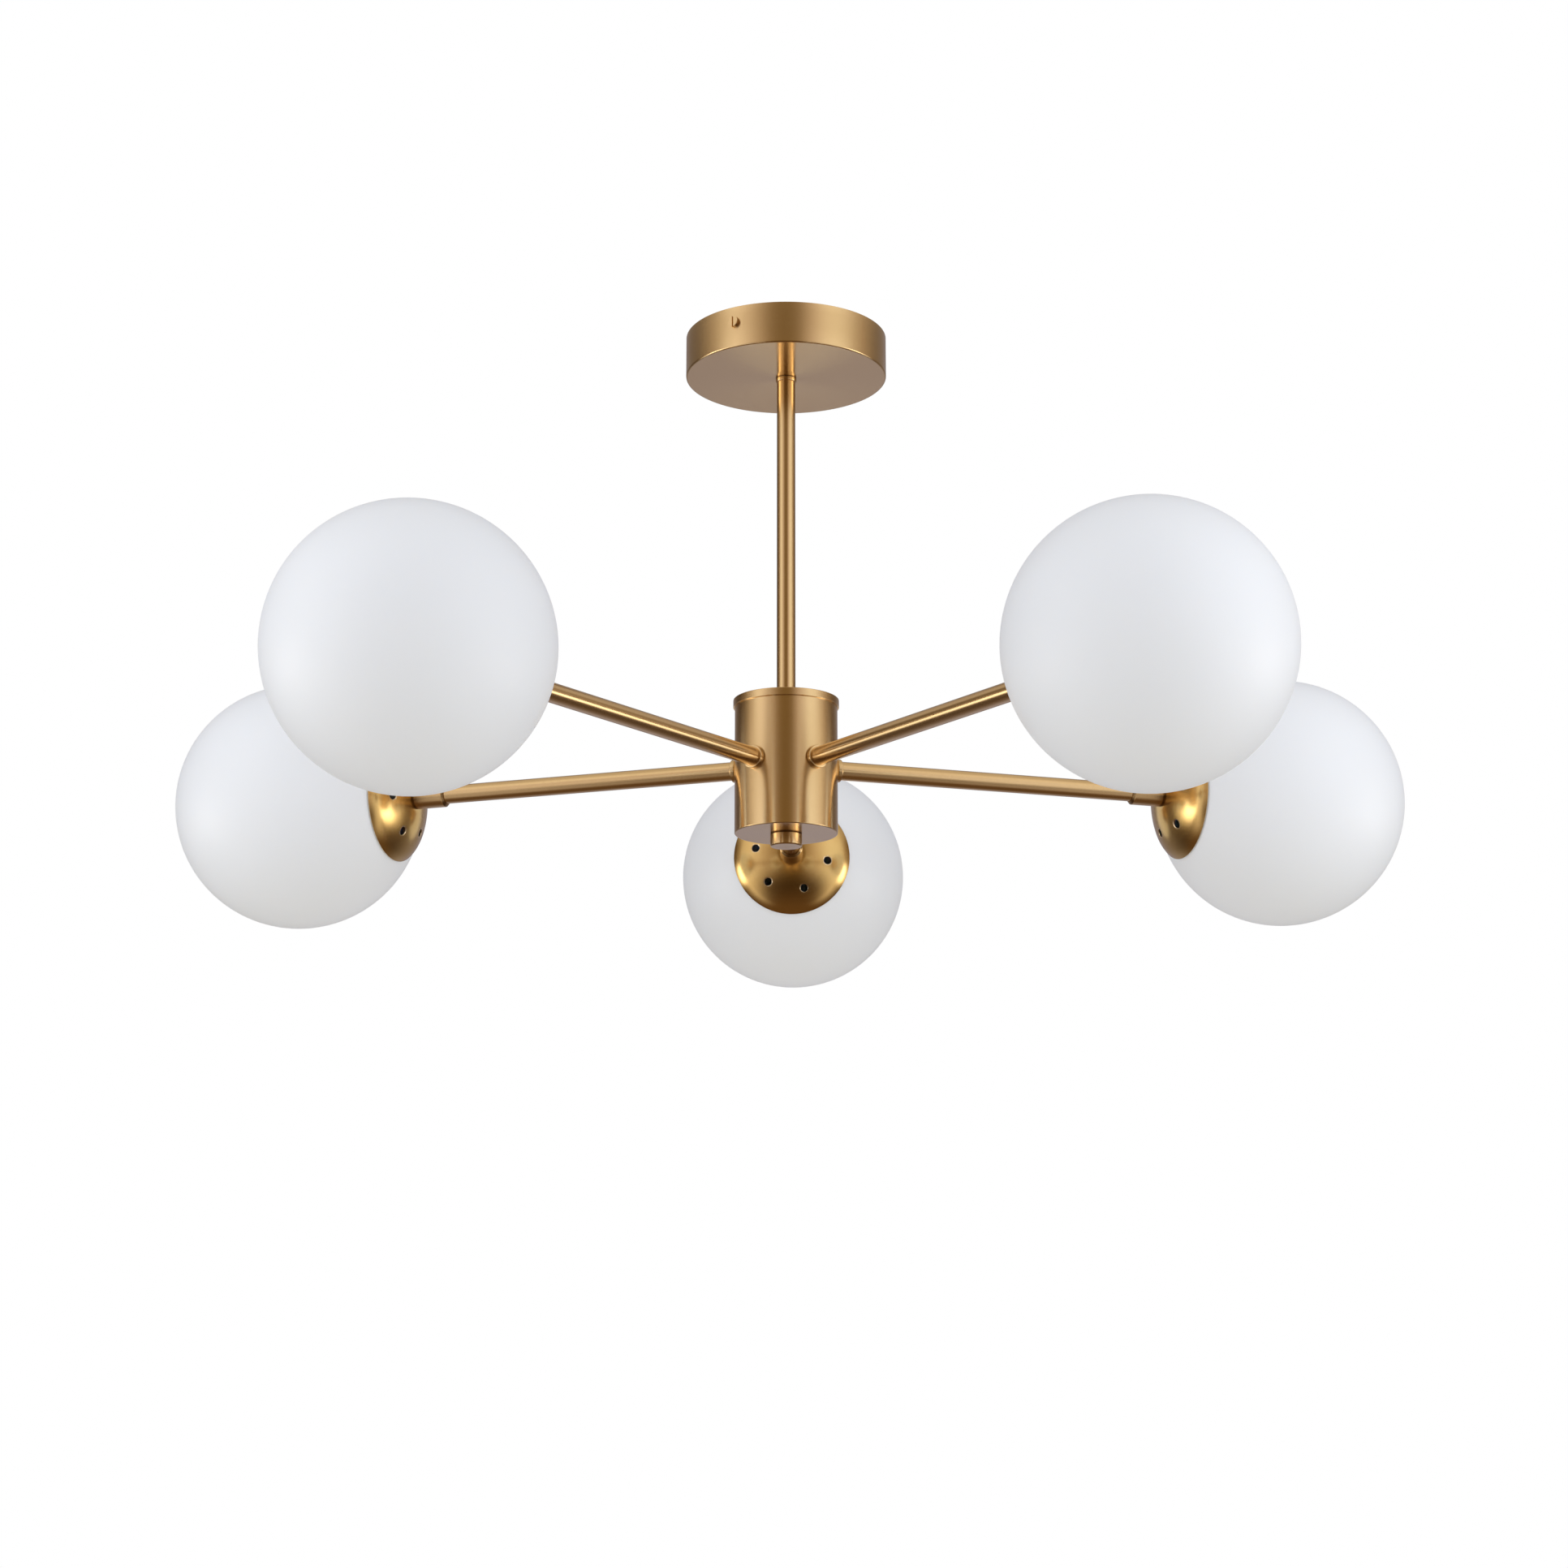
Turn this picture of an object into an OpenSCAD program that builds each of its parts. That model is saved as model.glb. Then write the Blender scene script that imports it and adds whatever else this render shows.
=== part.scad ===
// Ceiling light: five opal globes on level arms round a small hub, hung on a short stem.
// The origin is the centre of the ceiling face, and the light hangs down from it.

/* [Canopy] */
// Outside diameter of the canopy
canopy_d = 120; // [116:1:140]
// Height of the canopy
canopy_h = 25; // [24:0.5:34]
// Wall of the canopy
canopy_wall = 1.2; // [0.8:0.1:1.8]
// Radius of the canopy's lower edge
canopy_edge_r = 1; // [0.4:0.1:2]
// Distance of the canopy screws below the ceiling
canopy_screw_drop = 9.5; // [8:0.5:12]

/* [Ceiling bracket] */
// Direction that the bracket lies in, seen from below the ceiling as an angle from the side
bracket_turn = 60.5; // [0:0.5:90]
// Width of the bracket
bracket_w = 20; // [18:1:24]
// Thickness of the bracket
bracket_t = 2; // [1.5:0.1:2.5]
// Height of the bracket's ears
bracket_ear_h = 16; // [14:1:18]
// Width of the bracket's ears
bracket_ear_w = 16; // [12:1:18]
// Diameter of the circle on which the two ceiling screws sit
ceiling_screw_circle = 98; // [96:1:101]
// Diameter of the holes for the ceiling screws
ceiling_screw_hole = 5.2; // [4.2:0.1:6]
// Diameter of the hole that the supply comes in through
cable_hole = 12; // [8:1:14]

/* [Screws] */
// Diameter of the canopy screws and the earth screw
screw_d = 4; // [3:0.5:5]
// Diameter of their heads
screw_head_d = 6.5; // [6:0.5:8]
// Height of their heads
screw_head_h = 2; // [1.5:0.1:3]
// Length of a canopy screw under its head
canopy_screw_len = 8; // [6:1:12]
// Width of the slots in the heads
slot_w = 0.9; // [0.6:0.1:1.2]

/* [Stem] */
// Outside diameter of the stem and the arms
tube_d = 11; // [10:0.5:13]
// Distance from the canopy to the hub
stem_drop = 200; // [120:5:400]
// Diameter of the collar under the canopy
collar_d = 12.4; // [11.6:0.1:16]
// Height of the collar under the canopy
collar_h = 2.5; // [1.5:0.5:5]

/* [Nipples, nuts and washers] */
// Outside diameter of the hollow nipples
nipple_d = 8; // [7.6:0.1:8.6]
// Bore of the nipples
nipple_bore = 6.2; // [5.9:0.1:6.6]
// Length of the nipples
nipple_len = 22; // [19:0.5:23]
// Width of the nuts across their flats
nut_flats = 13; // [11:0.5:14]
// Height of the nuts
nut_h = 4; // [3:0.5:4.5]
// Diameter of the washers
washer_d = 14; // [12:0.5:15]
// Thickness of the washers
washer_t = 1; // [0.6:0.1:1.4]

/* [Hub] */
// Outside diameter of the hub
hub_d = 60; // [58:1:72]
// Height of the hub with its cap
hub_h = 80; // [78:1:100]
// Wall of the hub
hub_wall = 1.5; // [1:0.1:2]
// Radius of the hub's lower edge
hub_edge_r = 0.6; // [0.3:0.1:1.5]
// Width of the cap's lip
cap_lip_w = 0.9; // [0.6:0.1:1.5]
// Height of the cap's lip, with its top
cap_h = 4.5; // [3.5:0.5:7]
// Thickness of the cap's top
cap_t = 1.5; // [1:0.1:2.5]

/* [Yoke, tie rod and finial] */
// Width of the strap that the yoke is bent from
yoke_w = 12; // [11:0.5:13]
// Thickness of the yoke's legs
yoke_t = 2; // [1.5:0.1:2.5]
// Length of the yoke
yoke_h = 23; // [22:1:26]
// Thickness of the yoke's threaded ends
yoke_end_t = 3; // [2:0.5:4]
// Gap between the yoke's legs
yoke_gap = 16; // [15.5:0.5:18]
// Diameter of the tie rod
rod_d = 6; // [4:0.5:7]
// Diameter of the finial
finial_d = 18.5; // [12:0.5:24]
// Height of the finial
finial_h = 7.5; // [7:0.5:14]
// Chamfer round the finial's lower edge
finial_chamfer = 0.7; // [0.3:0.1:1.5]
// Depth of the finial's threaded hole
finial_hole = 5.5; // [4:0.5:6]

/* [Arms] */
// Distance from the hub's axis to the middle of a globe
arm_reach = 316; // [260:1:420]
// Direction of the first arm
first_arm = 90; // [0:1:359]
// Diameter of the ring round each arm at the hub
arm_ring_d = 13.5; // [12:0.5:15]
// Height of the ring round each arm at the hub
arm_ring_h = 3; // [2:0.5:6]
// Diameter of the sleeves
sleeve_d = 14.8; // [14:0.1:17]
// Length of the sleeves
sleeve_len = 20; // [17:0.5:26]
// Depth that an arm goes into its sleeve
sleeve_socket = 10; // [7:0.5:11]
// Chamfer at the sleeve's end
sleeve_chamfer = 1.3; // [0.6:0.1:1.4]

/* [Cups] */
// Diameter of a cup at its rim
cup_d = 78; // [74:0.5:80]
// Radius of the flat arc in the middle of a cup
cup_crown_r = 62; // [60:1:68]
// Diameter of the circle on which that arc meets a tighter one
cup_blend_d = 65.7; // [62:0.1:68]
// Slope of a cup's side at its rim
cup_rim_slope = 56.9; // [50:0.1:65]
// Wall of a cup
cup_wall = 1; // [0.7:0.1:1.2]
// Diameter of the vent holes
vent_d = 4.8; // [3:0.1:6]
// Number of vent holes in each cup
vent_count = 6; // [3:1:8]
// Diameter of the circle of vent holes
vent_circle = 48; // [42:1:50]
// Gap between the rim of a cup and the glass
rim_gap = 0.4; // [0.35:0.05:0.8]

/* [Globes] */
// Outside diameter of a globe
globe_d = 150; // [140:1:180]
// Thickness of the glass
glass_t = 2.5; // [2:0.1:4]
// Outside diameter of the threaded ring in each cup
globe_ring_d = 60; // [58:0.5:62]
// Wall of the threaded ring
globe_ring_wall = 1.2; // [0.8:0.1:2]
// Distance that the threaded ring reaches into the globe, past the cup's crown
globe_ring_reach = 20; // [15:0.5:24]
// Thickness of the glass neck round the threaded ring
neck_t = 2.8; // [2:0.1:4]

/* [Lampholders and bulbs] */
// Diameter of a lampholder
holder_d = 28; // [26:0.5:30]
// Length of a lampholder
holder_len = 36; // [35:0.5:42]
// Diameter of the foot that seats it in the cup
holder_foot_d = 15; // [12:0.5:15.4]
// Height of that foot
holder_foot_h = 2; // [1.6:0.1:3]
// Thickness of the lampholder's threaded base
holder_base = 5; // [4:0.5:6]
// Depth of the wiring chamber behind the contact
holder_chamber = 8; // [7:0.5:9]
// Diameter of the wiring chamber
chamber_d = 18; // [14:0.5:20]
// Thickness of the wall that carries the contact
holder_partition = 2.5; // [2:0.1:3.5]
// Wall of the threaded shell
shell_wall = 0.4; // [0.3:0.1:0.8]
// Diameter of the centre contact
contact_d = 4; // [3:0.5:5]
// Diameter of the bulb's metal cap
cap_d = 13.9; // [13:0.1:14.5]
// Diameter of the bulb's glass ball
bulb_d = 45; // [40:1:48]
// Length of the bulb
bulb_len = 78; // [72:1:86]
// Length of the bulb's metal cap
cap_len = 21.5; // [21:0.5:24]
// Diameter of the glass where it leaves the cap
bulb_neck_d = 17; // [14.5:0.5:22]
// Thickness of the bulb's glass
bulb_glass_t = 0.8; // [0.5:0.1:1.5]
// Thickness of the bulb's metal cap
cap_metal_t = 0.5; // [0.3:0.1:1]
// Depth that the bulb's glass goes into its metal cap
glass_socket = 4; // [2:0.5:8]

/* [Wiring] */
// Diameter of the leads
lead_d = 2; // [1.4:0.1:2]
// Distance of the arms' leads from the middle of the tube
lead_spread = 1.6; // [1.3:0.1:1.8]
// Radius of the bends in the leads
lead_bend = 4; // [3:0.5:5]
// Distance from the hub's axis at which the arms' leads turn down
lead_drop_r = 14; // [13.5:0.5:15]
// Height of the junction block in the hub
junction_h = 14; // [10:1:15]
// Diameter of the junction block
junction_d = 35; // [34.5:0.5:40]
// Bore of the junction block
junction_bore = 10; // [8:1:12]
// Length of the terminal block
block_len = 26; // [20:1:28]
// Width of the terminal block
block_w = 18; // [16:1:20]
// Height of the terminal block
block_h = 12; // [10:1:13]
// Distance between the ways of the terminal block
block_pitch = 6; // [5:0.5:6.5]
// Distance from the light's axis to the terminal block
block_start = 17; // [15:1:18]
// Diameter of the terminal block's screws
block_screw_d = 3; // [2:0.1:3.4]

/* [Clearances] */
// Gap round a thread or a pressed fit
thread_gap = 0.05; // [0.03:0.01:0.1]
// Gap round a screw in a plain hole
slip_gap = 0.2; // [0.1:0.05:0.4]
// Gap between the canopy and the bracket's ears
ear_gap = 0.25; // [0.2:0.05:0.5]
// Gap between the glass neck and its threaded ring
neck_gap = 0.3; // [0.2:0.05:0.5]

/* [Hidden] */
$fn = 96;
PLACES = ["back", "right", "front_right", "front_left", "left"];
arm_count = len(PLACES);
// Angle between one arm and the next, clockwise as seen from above
arm_step = -360 / arm_count;
// How far each cup is turned on its arm, which sets where its vent holes lie
cup_turns = [40, 29, 15, 45, 21];

// Canopy and bracket
canopy_r = canopy_d / 2;
canopy_inner_r = canopy_r - canopy_wall;
canopy_floor = -canopy_h + canopy_wall;
ear_face = sqrt(pow(canopy_inner_r - ear_gap, 2) - pow(max(bracket_ear_w, bracket_w) / 2, 2));
ceiling_screw_angles = [0, 180];
earth_screw_u = -26;

// Stem, from the canopy down to the cap
tube_bore = nipple_d + 2 * thread_gap;
stem_top = -canopy_h - collar_h;
hub_top = -canopy_h - stem_drop;
washer_bore = nipple_d + slip_gap;
top_washer_z = canopy_floor;
top_nut_z = canopy_floor + washer_t;
nipple_stick_out = 1.3;
top_nipple_z = top_nut_z + nut_h + nipple_stick_out - nipple_len;

// Hub
hub_r = hub_d / 2;
hub_inner_r = hub_r - hub_wall;
hub_bottom = hub_top - hub_h;
hub_floor = hub_bottom + hub_wall;
arm_z = (hub_top + hub_bottom) / 2;
cap_r = hub_r + thread_gap + cap_lip_w;
foot_nut_z = hub_top - cap_t - washer_t - nut_h;
yoke_seat_gap = 0.5;
yoke_top = foot_nut_z - yoke_seat_gap;
yoke_bottom = yoke_top - yoke_h;
foot_stick_out = 0.5;
foot_nipple_z = yoke_top - yoke_end_t - foot_stick_out;
rod_stick_out = 1;
rod_top = yoke_bottom + yoke_end_t + rod_stick_out;
rod_end_gap = 0.5;
rod_end = hub_bottom - finial_hole + rod_end_gap;

// Hub end of the arms, where the edges of the flat washers touch the round wall
washer_gap = 0.02;
arm_washer_s = sqrt(pow(hub_inner_r - washer_gap, 2) - pow(washer_d / 2, 2)) - washer_t;
arm_nut_s = arm_washer_s - nut_h;
arm_nipple_s = arm_nut_s - nipple_stick_out;
arm_start = hub_r + arm_ring_h;

// Cups: a crown arc, a tighter edge arc and a rim that follows the globe
globe_r = globe_d / 2;
cup_r = cup_d / 2;
rim_s = arm_reach - sqrt(pow(globe_r + rim_gap, 2) - pow(cup_r, 2));
// Angle from the cup's axis at which its two arcs meet
cup_blend = asin(cup_blend_d / 2 / cup_crown_r);
cup_edge_r = (cup_r - cup_blend_d / 2) / (sin(cup_rim_slope) - sin(cup_blend));
edge_r0 = (cup_crown_r - cup_edge_r) * sin(cup_blend);
edge_s0 = cup_crown_r - (cup_crown_r - cup_edge_r) * cos(cup_blend);
cup_apex = rim_s - (edge_s0 - cup_edge_r * cos(cup_rim_slope));
seat_margin = 0.6;
seat_angle = asin((sleeve_d / 2 + seat_margin) / cup_crown_r);
cup_seat = cup_apex + cup_crown_r * (1 - cos(seat_angle));
cup_inside = cup_seat + cup_wall * cos(seat_angle);
crown_inner_r = cup_crown_r - cup_wall;
rim_overrun = 8;
sleeve_start = cup_seat - sleeve_len;
arm_end = sleeve_start + sleeve_socket;

// Globes and their rings, whose feet stand on the flats between the points of the cup's inner arc
arc_step = 2.5;
ring_seat_gap = 0.003;
ring_foot_r = crown_inner_r * cos(arc_step / 2) - ring_seat_gap;
ring_r = globe_ring_d / 2;
ring_end = cup_apex + globe_ring_reach;
neck_r = ring_r + neck_gap;

// Lampholders and bulbs, measured from the inside of the cup
holder_r = holder_d / 2;
holder_end = cup_inside + holder_len;
partition_s = cup_inside + holder_base + holder_chamber;
bore_s = partition_s + holder_partition;
holder_stick_in = 3;
holder_nipple_s = cup_inside + holder_base + holder_stick_in - nipple_len;
cap_gap = 0.1;
shell_r = cap_d / 2 + cap_gap + shell_wall;
holder_bore_r = shell_r + thread_gap;
contact_back = 0.4;
contact_front = 0.8;
contact_gap = 0.3;
tip_s = bore_s + contact_front + contact_gap;
shell_recess = 1;
ball_s = tip_s + bulb_len - bulb_d / 2;
neck_s = tip_s + cap_len;

// Leads
lead_r = lead_d / 2;
lead_hole_r = lead_r + thread_gap;
tube_sides = 8;
bend_steps = 5;
junction_top = hub_floor + junction_h;
lead_depth = 5;
block_grip = 9;
lead_foot = junction_top - lead_depth;
supply_spread = 1.8;
supply_angles = [40, -40, 180];
supply_drop_r = 10.5;
block_lead_z = -bracket_t - block_h / 2;
earth_gap = 1.8;
earth_cross_z = -bracket_t - lead_r - earth_gap;
live_end = partition_s - contact_back;
neutral_end = live_end - 2;
block_exit = 4;
block_bend = 9;

// Functions

function unit(v) = v / norm(v);
function reversed(list) = [for (i = [len(list) - 1:-1:0]) list[i]];

// Points round one corner of a route, from the run before it to the run after it
function corner(before, at, after, radius) =
    let (back = unit(before - at))
    let (ahead = unit(after - at))
    let (opening = acos(back * ahead))
    let (centre = at + unit(back + ahead) * radius / sin(opening / 2))
    let (first = at + back * radius / tan(opening / 2) - centre)
    let (last = at + ahead * radius / tan(opening / 2) - centre)
    let (turn = 180 - opening)
    [for (k = [0:bend_steps])
        centre + (sin(turn - turn * k / bend_steps) * first + sin(turn * k / bend_steps) * last) / sin(turn)];

// A route with every corner rounded
function rounded(route, radius) = concat(
    [route[0]],
    [for (i = [1:len(route) - 2]) each corner(route[i - 1], route[i], route[i + 1], radius)],
    [route[len(route) - 1]]
);

// Points along an arc in a turned profile, its angles measured from the downward axis
function arc_points(centre, radius, start, end) =
    let (steps = ceil(abs(end - start) / arc_step))
    [for (k = [0:steps])
        let (a = start + (end - start) * k / steps)
        centre + radius * [sin(a), -cos(a)]];

// Directions along a path, and side directions that turn as little as they can
function along(path) = [for (i = [0:len(path) - 1])
    unit(path[min(i + 1, len(path) - 1)] - path[max(i - 1, 0)])];
function sideways(ahead) = [
    for (i = 0, side = unit(cross(ahead[0], [0.3, 0.9, 0.2])); i < len(ahead);
        i = i + 1, side = i < len(ahead) ? unit(side - (side * ahead[i]) * ahead[i]) : side) side];

// Building blocks

// A round tube along a path
module lead(path) {
    ahead = along(path);
    side = sideways(ahead);
    last = len(path) - 1;
    points = [for (i = [0:last]) for (j = [0:tube_sides - 1])
        let (a = 360 * j / tube_sides)
        path[i] + lead_r * (cos(a) * side[i] + sin(a) * cross(ahead[i], side[i]))];
    walls = [for (i = [0:last - 1]) for (j = [0:tube_sides - 1])
        let (k = (j + 1) % tube_sides)
        let (low = i * tube_sides)
        let (high = low + tube_sides)
        each [[low + j, high + j, high + k], [low + j, high + k, low + k]]];
    first_end = [for (j = [0:tube_sides - 1]) j];
    last_end = [for (j = [0:tube_sides - 1]) last * tube_sides + tube_sides - 1 - j];
    polyhedron(points = points, faces = concat(walls, [first_end, last_end]));
}

// A straight hollow cylinder
module pipe(outer_d, inner_d, length) {
    difference() {
        cylinder(h = length, d = outer_d);
        translate([0, 0, -1]) cylinder(h = length + 2, d = inner_d);
    }
}

// A can with a rounded lower edge, open at its top
module can(r, height, wall, edge_r) {
    difference() {
        rotate_extrude() polygon(concat(
            [[0, height], [0, 0]],
            arc_points([r - edge_r, edge_r], edge_r, 0, 90),
            [[r, height]]
        ));
        translate([0, 0, wall]) cylinder(h = height, r = r - wall);
    }
}

module nipple() {
    pipe(nipple_d, nipple_bore, nipple_len);
}

module hex_nut() {
    difference() {
        cylinder(h = nut_h, d = nut_flats / cos(30), $fn = 6);
        translate([0, 0, -1]) cylinder(h = nut_h + 2, d = tube_bore);
    }
}

module washer() {
    pipe(washer_d, washer_bore, washer_t);
}

// A cheese-head screw along +Z, its head's seat at z = 0 and its shank below
module screw(length) {
    difference() {
        union() {
            translate([0, 0, -length]) cylinder(h = length, d = screw_d - 2 * thread_gap);
            cylinder(h = screw_head_h, d = screw_head_d);
        }
        translate([-screw_head_d, -slot_w / 2, screw_head_h / 2])
            cube([2 * screw_head_d, slot_w, screw_head_h]);
    }
}

// Places what is drawn about +Z on arm i: z is then the distance from the hub's axis, and x points down
module on_arm(i) {
    rotate([0, 0, first_arm + arm_step * i]) translate([0, 0, arm_z]) rotate([0, 90, 0]) children();
}

// Repeats what is drawn about +Z on every arm, at a distance from the hub's axis
module on_arms(s = 0) {
    for (i = [0:arm_count - 1]) on_arm(i) translate([0, 0, s]) children();
}

module on_bracket() {
    rotate([0, 0, bracket_turn]) children();
}

// Ceiling and canopy

module ceiling_bracket() {
    color("silver") on_bracket() difference() {
        union() {
            translate([-ear_face, -bracket_w / 2, -bracket_t]) cube([2 * ear_face, bracket_w, bracket_t]);
            for (side = [0, 1]) mirror([side, 0, 0])
                translate([ear_face - bracket_t, -bracket_ear_w / 2, -bracket_ear_h])
                    cube([bracket_t, bracket_ear_w, bracket_ear_h]);
        }
        translate([0, 0, -bracket_t - 1]) cylinder(h = bracket_t + 2, d = cable_hole);
        for (a = ceiling_screw_angles) rotate([0, 0, a])
            translate([ceiling_screw_circle / 2, 0, -bracket_t - 1])
                cylinder(h = bracket_t + 2, d = ceiling_screw_hole);
        translate([earth_screw_u, 0, -bracket_t - 1]) cylinder(h = bracket_t + 2, d = screw_d);
        translate([-canopy_r, 0, -canopy_screw_drop]) rotate([0, 90, 0]) cylinder(h = canopy_d, d = screw_d);
    }
}

module canopy() {
    color("goldenrod") difference() {
        translate([0, 0, -canopy_h]) can(canopy_r, canopy_h, canopy_wall, canopy_edge_r);
        translate([0, 0, -canopy_h - 1]) cylinder(h = canopy_wall + 2, d = washer_bore);
        on_bracket() translate([-canopy_d, 0, -canopy_screw_drop]) rotate([0, 90, 0])
            cylinder(h = 2 * canopy_d, d = screw_d + slip_gap);
    }
}

// One canopy screw: side 1 is the near end of the bracket, side 0 the far end
module canopy_screw(side) {
    color("darkgoldenrod") on_bracket() rotate([0, 0, 180 * side])
        translate([canopy_r + thread_gap, 0, -canopy_screw_drop]) rotate([0, 90, 0]) screw(canopy_screw_len);
}

module earth_screw() {
    color("gold") on_bracket() translate([earth_screw_u, 0, -bracket_t]) rotate([180, 0, 0])
        screw(bracket_t);
}

module terminal_block() {
    color("ivory") on_bracket() difference() {
        translate([block_start, -block_w / 2, -bracket_t - block_h]) cube([block_len, block_w, block_h]);
        for (way = [-1:1]) {
            translate([block_start - 1, way * block_pitch, block_lead_z]) rotate([0, 90, 0])
                cylinder(h = block_len + 2, r = lead_hole_r);
            for (share = [0.25, 0.75])
                translate([block_start + share * block_len, way * block_pitch, block_lead_z - block_h])
                    cylinder(h = block_h, d = block_screw_d + 2 * thread_gap);
        }
    }
}

module terminal_screws() {
    screw_recess = 1.5;
    slot_depth = 0.8;
    screw_len = block_h / 2 - lead_hole_r - screw_recess;
    color("silver") on_bracket() for (way = [-1:1]) for (share = [0.25, 0.75])
        translate([block_start + share * block_len, way * block_pitch, block_lead_z - lead_hole_r - screw_len])
            difference() {
                cylinder(h = screw_len, d = block_screw_d);
                translate([-block_screw_d, -slot_w / 2, -1])
                    cube([2 * block_screw_d, slot_w, 1 + slot_depth]);
            }
}

// Stem and hub

module stem() {
    color("goldenrod") translate([0, 0, hub_top]) pipe(tube_d, tube_bore, stem_top - hub_top);
}

module stem_collar() {
    color("goldenrod") translate([0, 0, stem_top]) pipe(collar_d, washer_bore, collar_h);
}

module nipples() {
    color("silver") {
        translate([0, 0, top_nipple_z]) nipple();
        translate([0, 0, foot_nipple_z]) nipple();
        on_arms(arm_nipple_s) nipple();
        on_arms(holder_nipple_s) nipple();
    }
}

module hex_nuts() {
    color("silver") {
        translate([0, 0, top_nut_z]) hex_nut();
        translate([0, 0, foot_nut_z]) hex_nut();
        on_arms(arm_nut_s) hex_nut();
    }
}

module washers() {
    color("silver") {
        translate([0, 0, top_washer_z]) washer();
        translate([0, 0, hub_top - cap_t - washer_t]) washer();
        on_arms(arm_washer_s) washer();
    }
}

module hub_body() {
    color("goldenrod") difference() {
        translate([0, 0, hub_bottom]) can(hub_r, hub_h - cap_t, hub_wall, hub_edge_r);
        on_arms() cylinder(h = hub_d, d = washer_bore);
        translate([0, 0, hub_bottom - 1]) cylinder(h = hub_wall + 2, d = rod_d + slip_gap);
    }
}

module hub_cap() {
    color("goldenrod") difference() {
        translate([0, 0, hub_top - cap_h]) cylinder(h = cap_h, r = cap_r);
        translate([0, 0, hub_top - cap_h - 1]) cylinder(h = cap_h + 1 - cap_t, r = hub_r + thread_gap);
        translate([0, 0, hub_top - cap_h]) cylinder(h = cap_h + 1, d = washer_bore);
    }
}

module hub_yoke() {
    yoke_len = yoke_gap + 2 * yoke_t;
    color("silver") on_bracket() difference() {
        translate([-yoke_w / 2, -yoke_len / 2, yoke_bottom]) cube([yoke_w, yoke_len, yoke_h]);
        translate([-yoke_w, -yoke_gap / 2, yoke_bottom + yoke_end_t])
            cube([2 * yoke_w, yoke_gap, yoke_h - 2 * yoke_end_t]);
        translate([0, 0, yoke_top - yoke_end_t - 1]) cylinder(h = yoke_end_t + 2, d = tube_bore);
        translate([0, 0, yoke_bottom - 1]) cylinder(h = yoke_end_t + 2, d = rod_d + 2 * thread_gap);
    }
}

module tie_rod() {
    color("silver") translate([0, 0, rod_end]) cylinder(h = rod_top - rod_end, d = rod_d);
}

module finial() {
    color("goldenrod") difference() {
        translate([0, 0, hub_bottom - finial_h]) rotate_extrude() polygon([
            [0, 0],
            [finial_d / 2 - finial_chamfer, 0],
            [finial_d / 2, finial_chamfer],
            [finial_d / 2, finial_h],
            [0, finial_h]
        ]);
        translate([0, 0, hub_bottom - finial_hole]) cylinder(h = finial_hole + 1, d = rod_d + 2 * thread_gap);
    }
}

module junction_block() {
    color("ivory") difference() {
        translate([0, 0, hub_floor]) pipe(junction_d, junction_bore, junction_h);
        for (i = [0:arm_count - 1]) rotate([0, 0, first_arm + arm_step * i]) for (side = [-1, 1])
            translate([lead_drop_r, side * lead_spread, lead_foot])
                cylinder(h = lead_depth + 1, r = lead_hole_r);
        on_bracket() for (a = supply_angles) rotate([0, 0, a])
            translate([supply_drop_r, 0, lead_foot]) cylinder(h = lead_depth + 1, r = lead_hole_r);
    }
}

// Arms, from the hub outwards

module arm_rings() {
    color("goldenrod") difference() {
        on_arms() pipe(arm_ring_d, washer_bore, arm_start);
        translate([0, 0, arm_z - hub_h]) cylinder(h = 2 * hub_h, r = hub_r);
    }
}

module arm() {
    color("goldenrod") translate([0, 0, arm_start]) pipe(tube_d, tube_bore, arm_end - arm_start);
}

module sleeve() {
    color("goldenrod") translate([0, 0, sleeve_start]) difference() {
        rotate_extrude() polygon([
            [0, 0],
            [sleeve_d / 2 - sleeve_chamfer, 0],
            [sleeve_d / 2, sleeve_chamfer],
            [sleeve_d / 2, sleeve_len],
            [0, sleeve_len]
        ]);
        translate([0, 0, -1]) cylinder(h = sleeve_socket + 1, d = tube_d + 2 * thread_gap);
        cylinder(h = sleeve_len + 1, d = tube_bore);
    }
}

// One side of the cup's wall, as far inside its outer face as inset says: flat seat, crown arc, edge arc
function cup_face(inset) = concat(
    [[0, cup_apex + cup_crown_r - (cup_crown_r - inset) * cos(seat_angle)]],
    arc_points([0, cup_apex + cup_crown_r], cup_crown_r - inset, seat_angle, cup_blend),
    arc_points([edge_r0, cup_apex + edge_s0], cup_edge_r - inset, cup_blend + 1, cup_rim_slope + rim_overrun)
);

module cup(turn) {
    color("goldenrod") difference() {
        rotate_extrude() difference() {
            polygon(concat(cup_face(0), reversed(cup_face(cup_wall))));
            translate([0, arm_reach]) circle(r = globe_r + rim_gap);
        }
        cylinder(h = arm_reach, d = washer_bore);
        for (k = [0:vent_count - 1]) rotate([0, 0, turn + 360 * k / vent_count])
            translate([vent_circle / 2, 0, cup_apex]) cylinder(h = rim_s - cup_apex, d = vent_d);
    }
}

module globe_rings() {
    color("gold") on_arms() rotate_extrude() intersection() {
        translate([ring_r - globe_ring_wall, cup_apex]) square([globe_ring_wall, globe_ring_reach]);
        translate([0, cup_apex + cup_crown_r]) circle(r = ring_foot_r);
    }
}

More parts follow.
